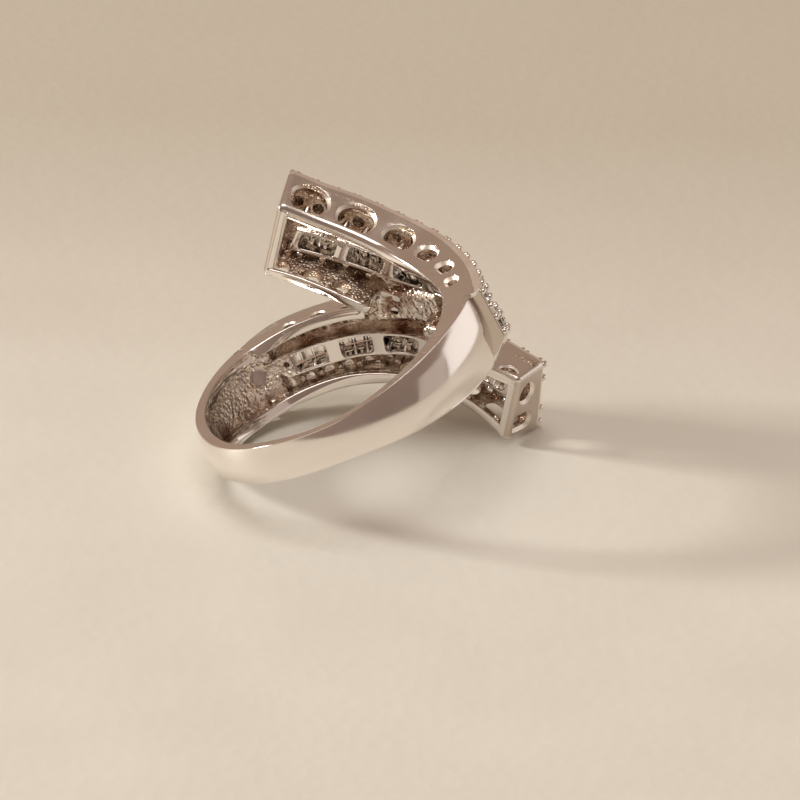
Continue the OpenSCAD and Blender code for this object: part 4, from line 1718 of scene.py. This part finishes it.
@dataclass
class PostsAndBeads:
    """The posts that hang between the round stones and the beads that hold them."""

    plates: StonePlates
    post_d: float = 0.48
    post_l: float = 1.1
    post_soft: float = 0.36
    post_low: float = 0.42
    post_inset: float = 0.3
    bead_d: float = 0.42
    bead_side: float = 0.56
    bead_rise: float = 0.05
    bead_apart: float = 0.19
    bead_stem: float = 0.25
    post_high: float = 0.76
    post_from: float = 0.2
    lower_from: float = 4.9
    end_gap: float = 0.42

    def bead_template(self) -> bpy.types.Object:
        """Models one bead: a ball drawn up from the metal."""
        bpy.ops.object.select_all(action="DESELECT")
        bpy.ops.mesh.primitive_uv_sphere_add(segments=14, ring_count=8, radius=self.bead_d / 2)
        obj = bpy.context.object
        with editing(obj):
            pick(obj, Part.POINTS, lambda v: v.co.z < -NEAR)
            bpy.ops.transform.translate(value=(0, 0, -self.bead_stem))
        return obj

    def post_places(self) -> list[Spot]:
        """Returns the lower end of each post, with its axes."""
        places = []
        form = ARM_FORM
        for side in Side:
            sign = 1 if side is Side.UPPER else -1
            row = self.plates.row_places(side)
            for a, b in zip(row, row[1:]):
                t = np.array((a + b) / 2)
                offset = self.plates.row_offset(t, side) - sign * self.post_inset
                first = form.place(RAIL_START) + self.post_from
                if t < first or (side is Side.LOWER and t < self.lower_from):
                    continue
                low = form.beside(t, offset, np.array(self.post_low))
                high = form.beside(t, offset, np.array(self.post_high))
                out = unit(high - low)
                along = unit(np.cross(out, [0.3, 0.2, 1.0]))
                places.append((low, np.stack([along, np.cross(out, along), out], -1)))
        return places

    def bead_places(self) -> list[Spot]:
        """Returns the middle of each bead: four between neighbours, and four at each end."""
        places = []
        for side in Side:
            row = self.plates.row_places(side)
            gap = self.end_gap * (row[1] - row[0]), self.end_gap * (row[-1] - row[-2])
            between = [row[0] - gap[0], *((a + b) / 2 for a, b in zip(row, row[1:])), row[-1] + gap[1]]
            for t in between:
                offset = float(self.plates.row_offset(np.array(t), side))
                for lean in (-1, 1):
                    point, axes = ARM_FORM.frame_at(t, offset + lean * self.bead_side, 1.0)
                    for shift in (-self.bead_apart, self.bead_apart):
                        places.append((point + axes[:, 2] * self.bead_rise + axes[:, 0] * shift, axes))
        return places

    def make(self, finishes: Finishes) -> None:
        """Builds and dresses the posts and beads of both arms."""
        post = rod(self.post_d, self.post_l, self.post_soft)
        posts = scatter("upper_arm_posts", post, self.post_places())
        beads = scatter("upper_arm_beads", self.bead_template(), self.bead_places())
        for obj in (posts, beads):
            finish_both(obj, finishes.polished)


@dataclass(frozen=True)
class SoftLight:
    """An area light that faces the ring: its turn to the right of the camera and its
    height in degrees, its distance and size in metres, its power and its colour."""

    name: str
    turn: float
    height: float
    away: float
    size: tuple[float, float]
    power: float
    colour: Colour

    def hang(self, right: Vector, back: Vector) -> None:
        """Hangs the light.

        Args:
            right: Level direction to the right of the camera.
            back: Level direction from the ring to the camera.
        """
        data = bpy.data.lights.new(self.name, "AREA")
        data.shape = "RECTANGLE"
        data.size, data.size_y = self.size
        data.energy = self.power
        data.color = self.colour
        obj = bpy.data.objects.new(self.name, data)
        bpy.context.scene.collection.objects.link(obj)
        a, e = math.radians(self.turn), math.radians(self.height)
        level = right * math.sin(a) + back * math.cos(a)
        obj.location = (level * math.cos(e) + Vector((0, 0, math.sin(e)))) * self.away
        obj.rotation_euler = (Vector((0, 0, LIGHT_AIM)) - obj.location).to_track_quat("-Z", "Y").to_euler()


# Height above the surface, in metres, that the lights face.
LIGHT_AIM = 0.006
LIGHTS = (
    SoftLight("key", -97, 22, 0.8, (0.14, 0.14), 4.5, (1.0, 0.95, 0.88)),
    SoftLight("over", -20, 86, 0.65, (0.4, 0.4), 1.5, (1.0, 0.96, 0.91)),
    SoftLight("right_card", 107, 14, 0.5, (0.34, 0.26), 0.20, (1.0, 0.97, 0.94)),
    SoftLight("side_card", 72, 13, 0.55, (0.26, 0.24), 0.048, (1.0, 0.91, 0.83)),
)


@dataclass
class Studio:
    """The surface that the ring lies on, the lights and the camera."""

    sight_right: tuple[float, float, float] = (0.7897, 0.4317, -0.4359)
    sight_up: tuple[float, float, float] = (0.1797, 0.5165, 0.8372)
    range_mm: float = 372.79
    aim: tuple[float, float] = (3.967, -0.795)
    px_per_mm: float = 15.4976
    picture_px: int = 800
    sensor: float = 36.0
    clip: tuple[float, float] = (0.01, 20.0)
    floor_size: float = 4.0
    dim: Colour = (0.22, 0.155, 0.128)
    bright: Colour = (0.42, 0.30, 0.225)
    bright_side: tuple[float, float, float] = (0.6, 0.8, 0.15)

    def camera(self) -> None:
        """Puts the camera where the photo was taken from."""
        right = unit(np.array(self.sight_right))
        back = unit(np.cross(right, np.array(self.sight_up)))
        up = np.cross(back, right)
        axes = np.stack([right, up, back])
        centre = np.array([*self.aim, self.range_mm]) @ axes
        data = bpy.data.cameras.new("camera")
        data.sensor_width = self.sensor
        data.lens = self.px_per_mm * self.range_mm / self.picture_px * self.sensor
        data.clip_start, data.clip_end = self.clip
        obj = bpy.data.objects.new("camera", data)
        bpy.context.scene.collection.objects.link(obj)
        turned = LAY.axes @ axes.T
        matrix = Matrix(turned.tolist()).to_4x4()
        matrix.translation = Vector(LAY.place(centre))
        obj.matrix_world = matrix
        bpy.context.scene.camera = obj
        self.level_right = Vector((turned[0, 0], turned[1, 0], 0)).normalized()
        self.level_back = Vector((turned[0, 2], turned[1, 2], 0)).normalized()

    def floor(self) -> None:
        """Lays the pale surface."""
        bpy.ops.object.select_all(action="DESELECT")
        bpy.ops.mesh.primitive_plane_add(size=self.floor_size)
        obj = name_piece(bpy.context.object, "floor")
        obj.data.materials.append(PaleSurface().material(self.level_back))

    def surroundings(self) -> None:
        """Sets the pale surroundings, which are brighter on one side."""
        world = bpy.data.worlds.new("surroundings")
        world.use_nodes = True
        tree = NodeTree(world.node_tree)
        left, away, up = self.bright_side
        towards = (self.level_back * -away - self.level_right * left + Vector((0, 0, up))).normalized()
        facing = tree.add("ShaderNodeVectorMath", {0: tree.add("ShaderNodeTexCoord").outputs["Generated"],
                                                   1: towards}, operation="DOT_PRODUCT")
        shade = tree.ramp(facing.outputs["Value"], -1.0, 1.0)
        tree.tree.links.new(tree.blend(shade, self.dim, self.bright), tree.tree.nodes["Background"].inputs[0])
        bpy.context.scene.world = world
        bpy.context.scene.view_settings.view_transform = "Standard"

    def make(self) -> None:
        """Sets up camera, surface, lights and surroundings."""
        self.camera()
        self.floor()
        for light in LIGHTS:
            light.hang(self.level_right, self.level_back)
        self.surroundings()


def dress_stones(finishes: Finishes) -> None:
    """Gives the stones of the frame their clear finish."""
    for arm in ("upper_arm", "lower_arm"):
        for kind, material in (("rounds", finishes.rounds), ("baguettes", finishes.baguettes)):
            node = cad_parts[f"{arm}_{kind}"]
            node.data.materials.clear()
            node.data.materials.append(material)
            log.info("%s dressed", node.name)


def main() -> None:
    """Builds the ring, its finishes and the studio."""
    logging.basicConfig(level=logging.INFO)
    finishes = Finishes()
    Studio().make()
    body = ShankBody().make(finishes)
    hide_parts("band")
    SideWalls().make(finishes)
    plates = StonePlates()
    plates.make(finishes)
    PostsAndBeads(plates).make(finishes)
    dress_stones(finishes)


if __name__ == "__main__":
    main()
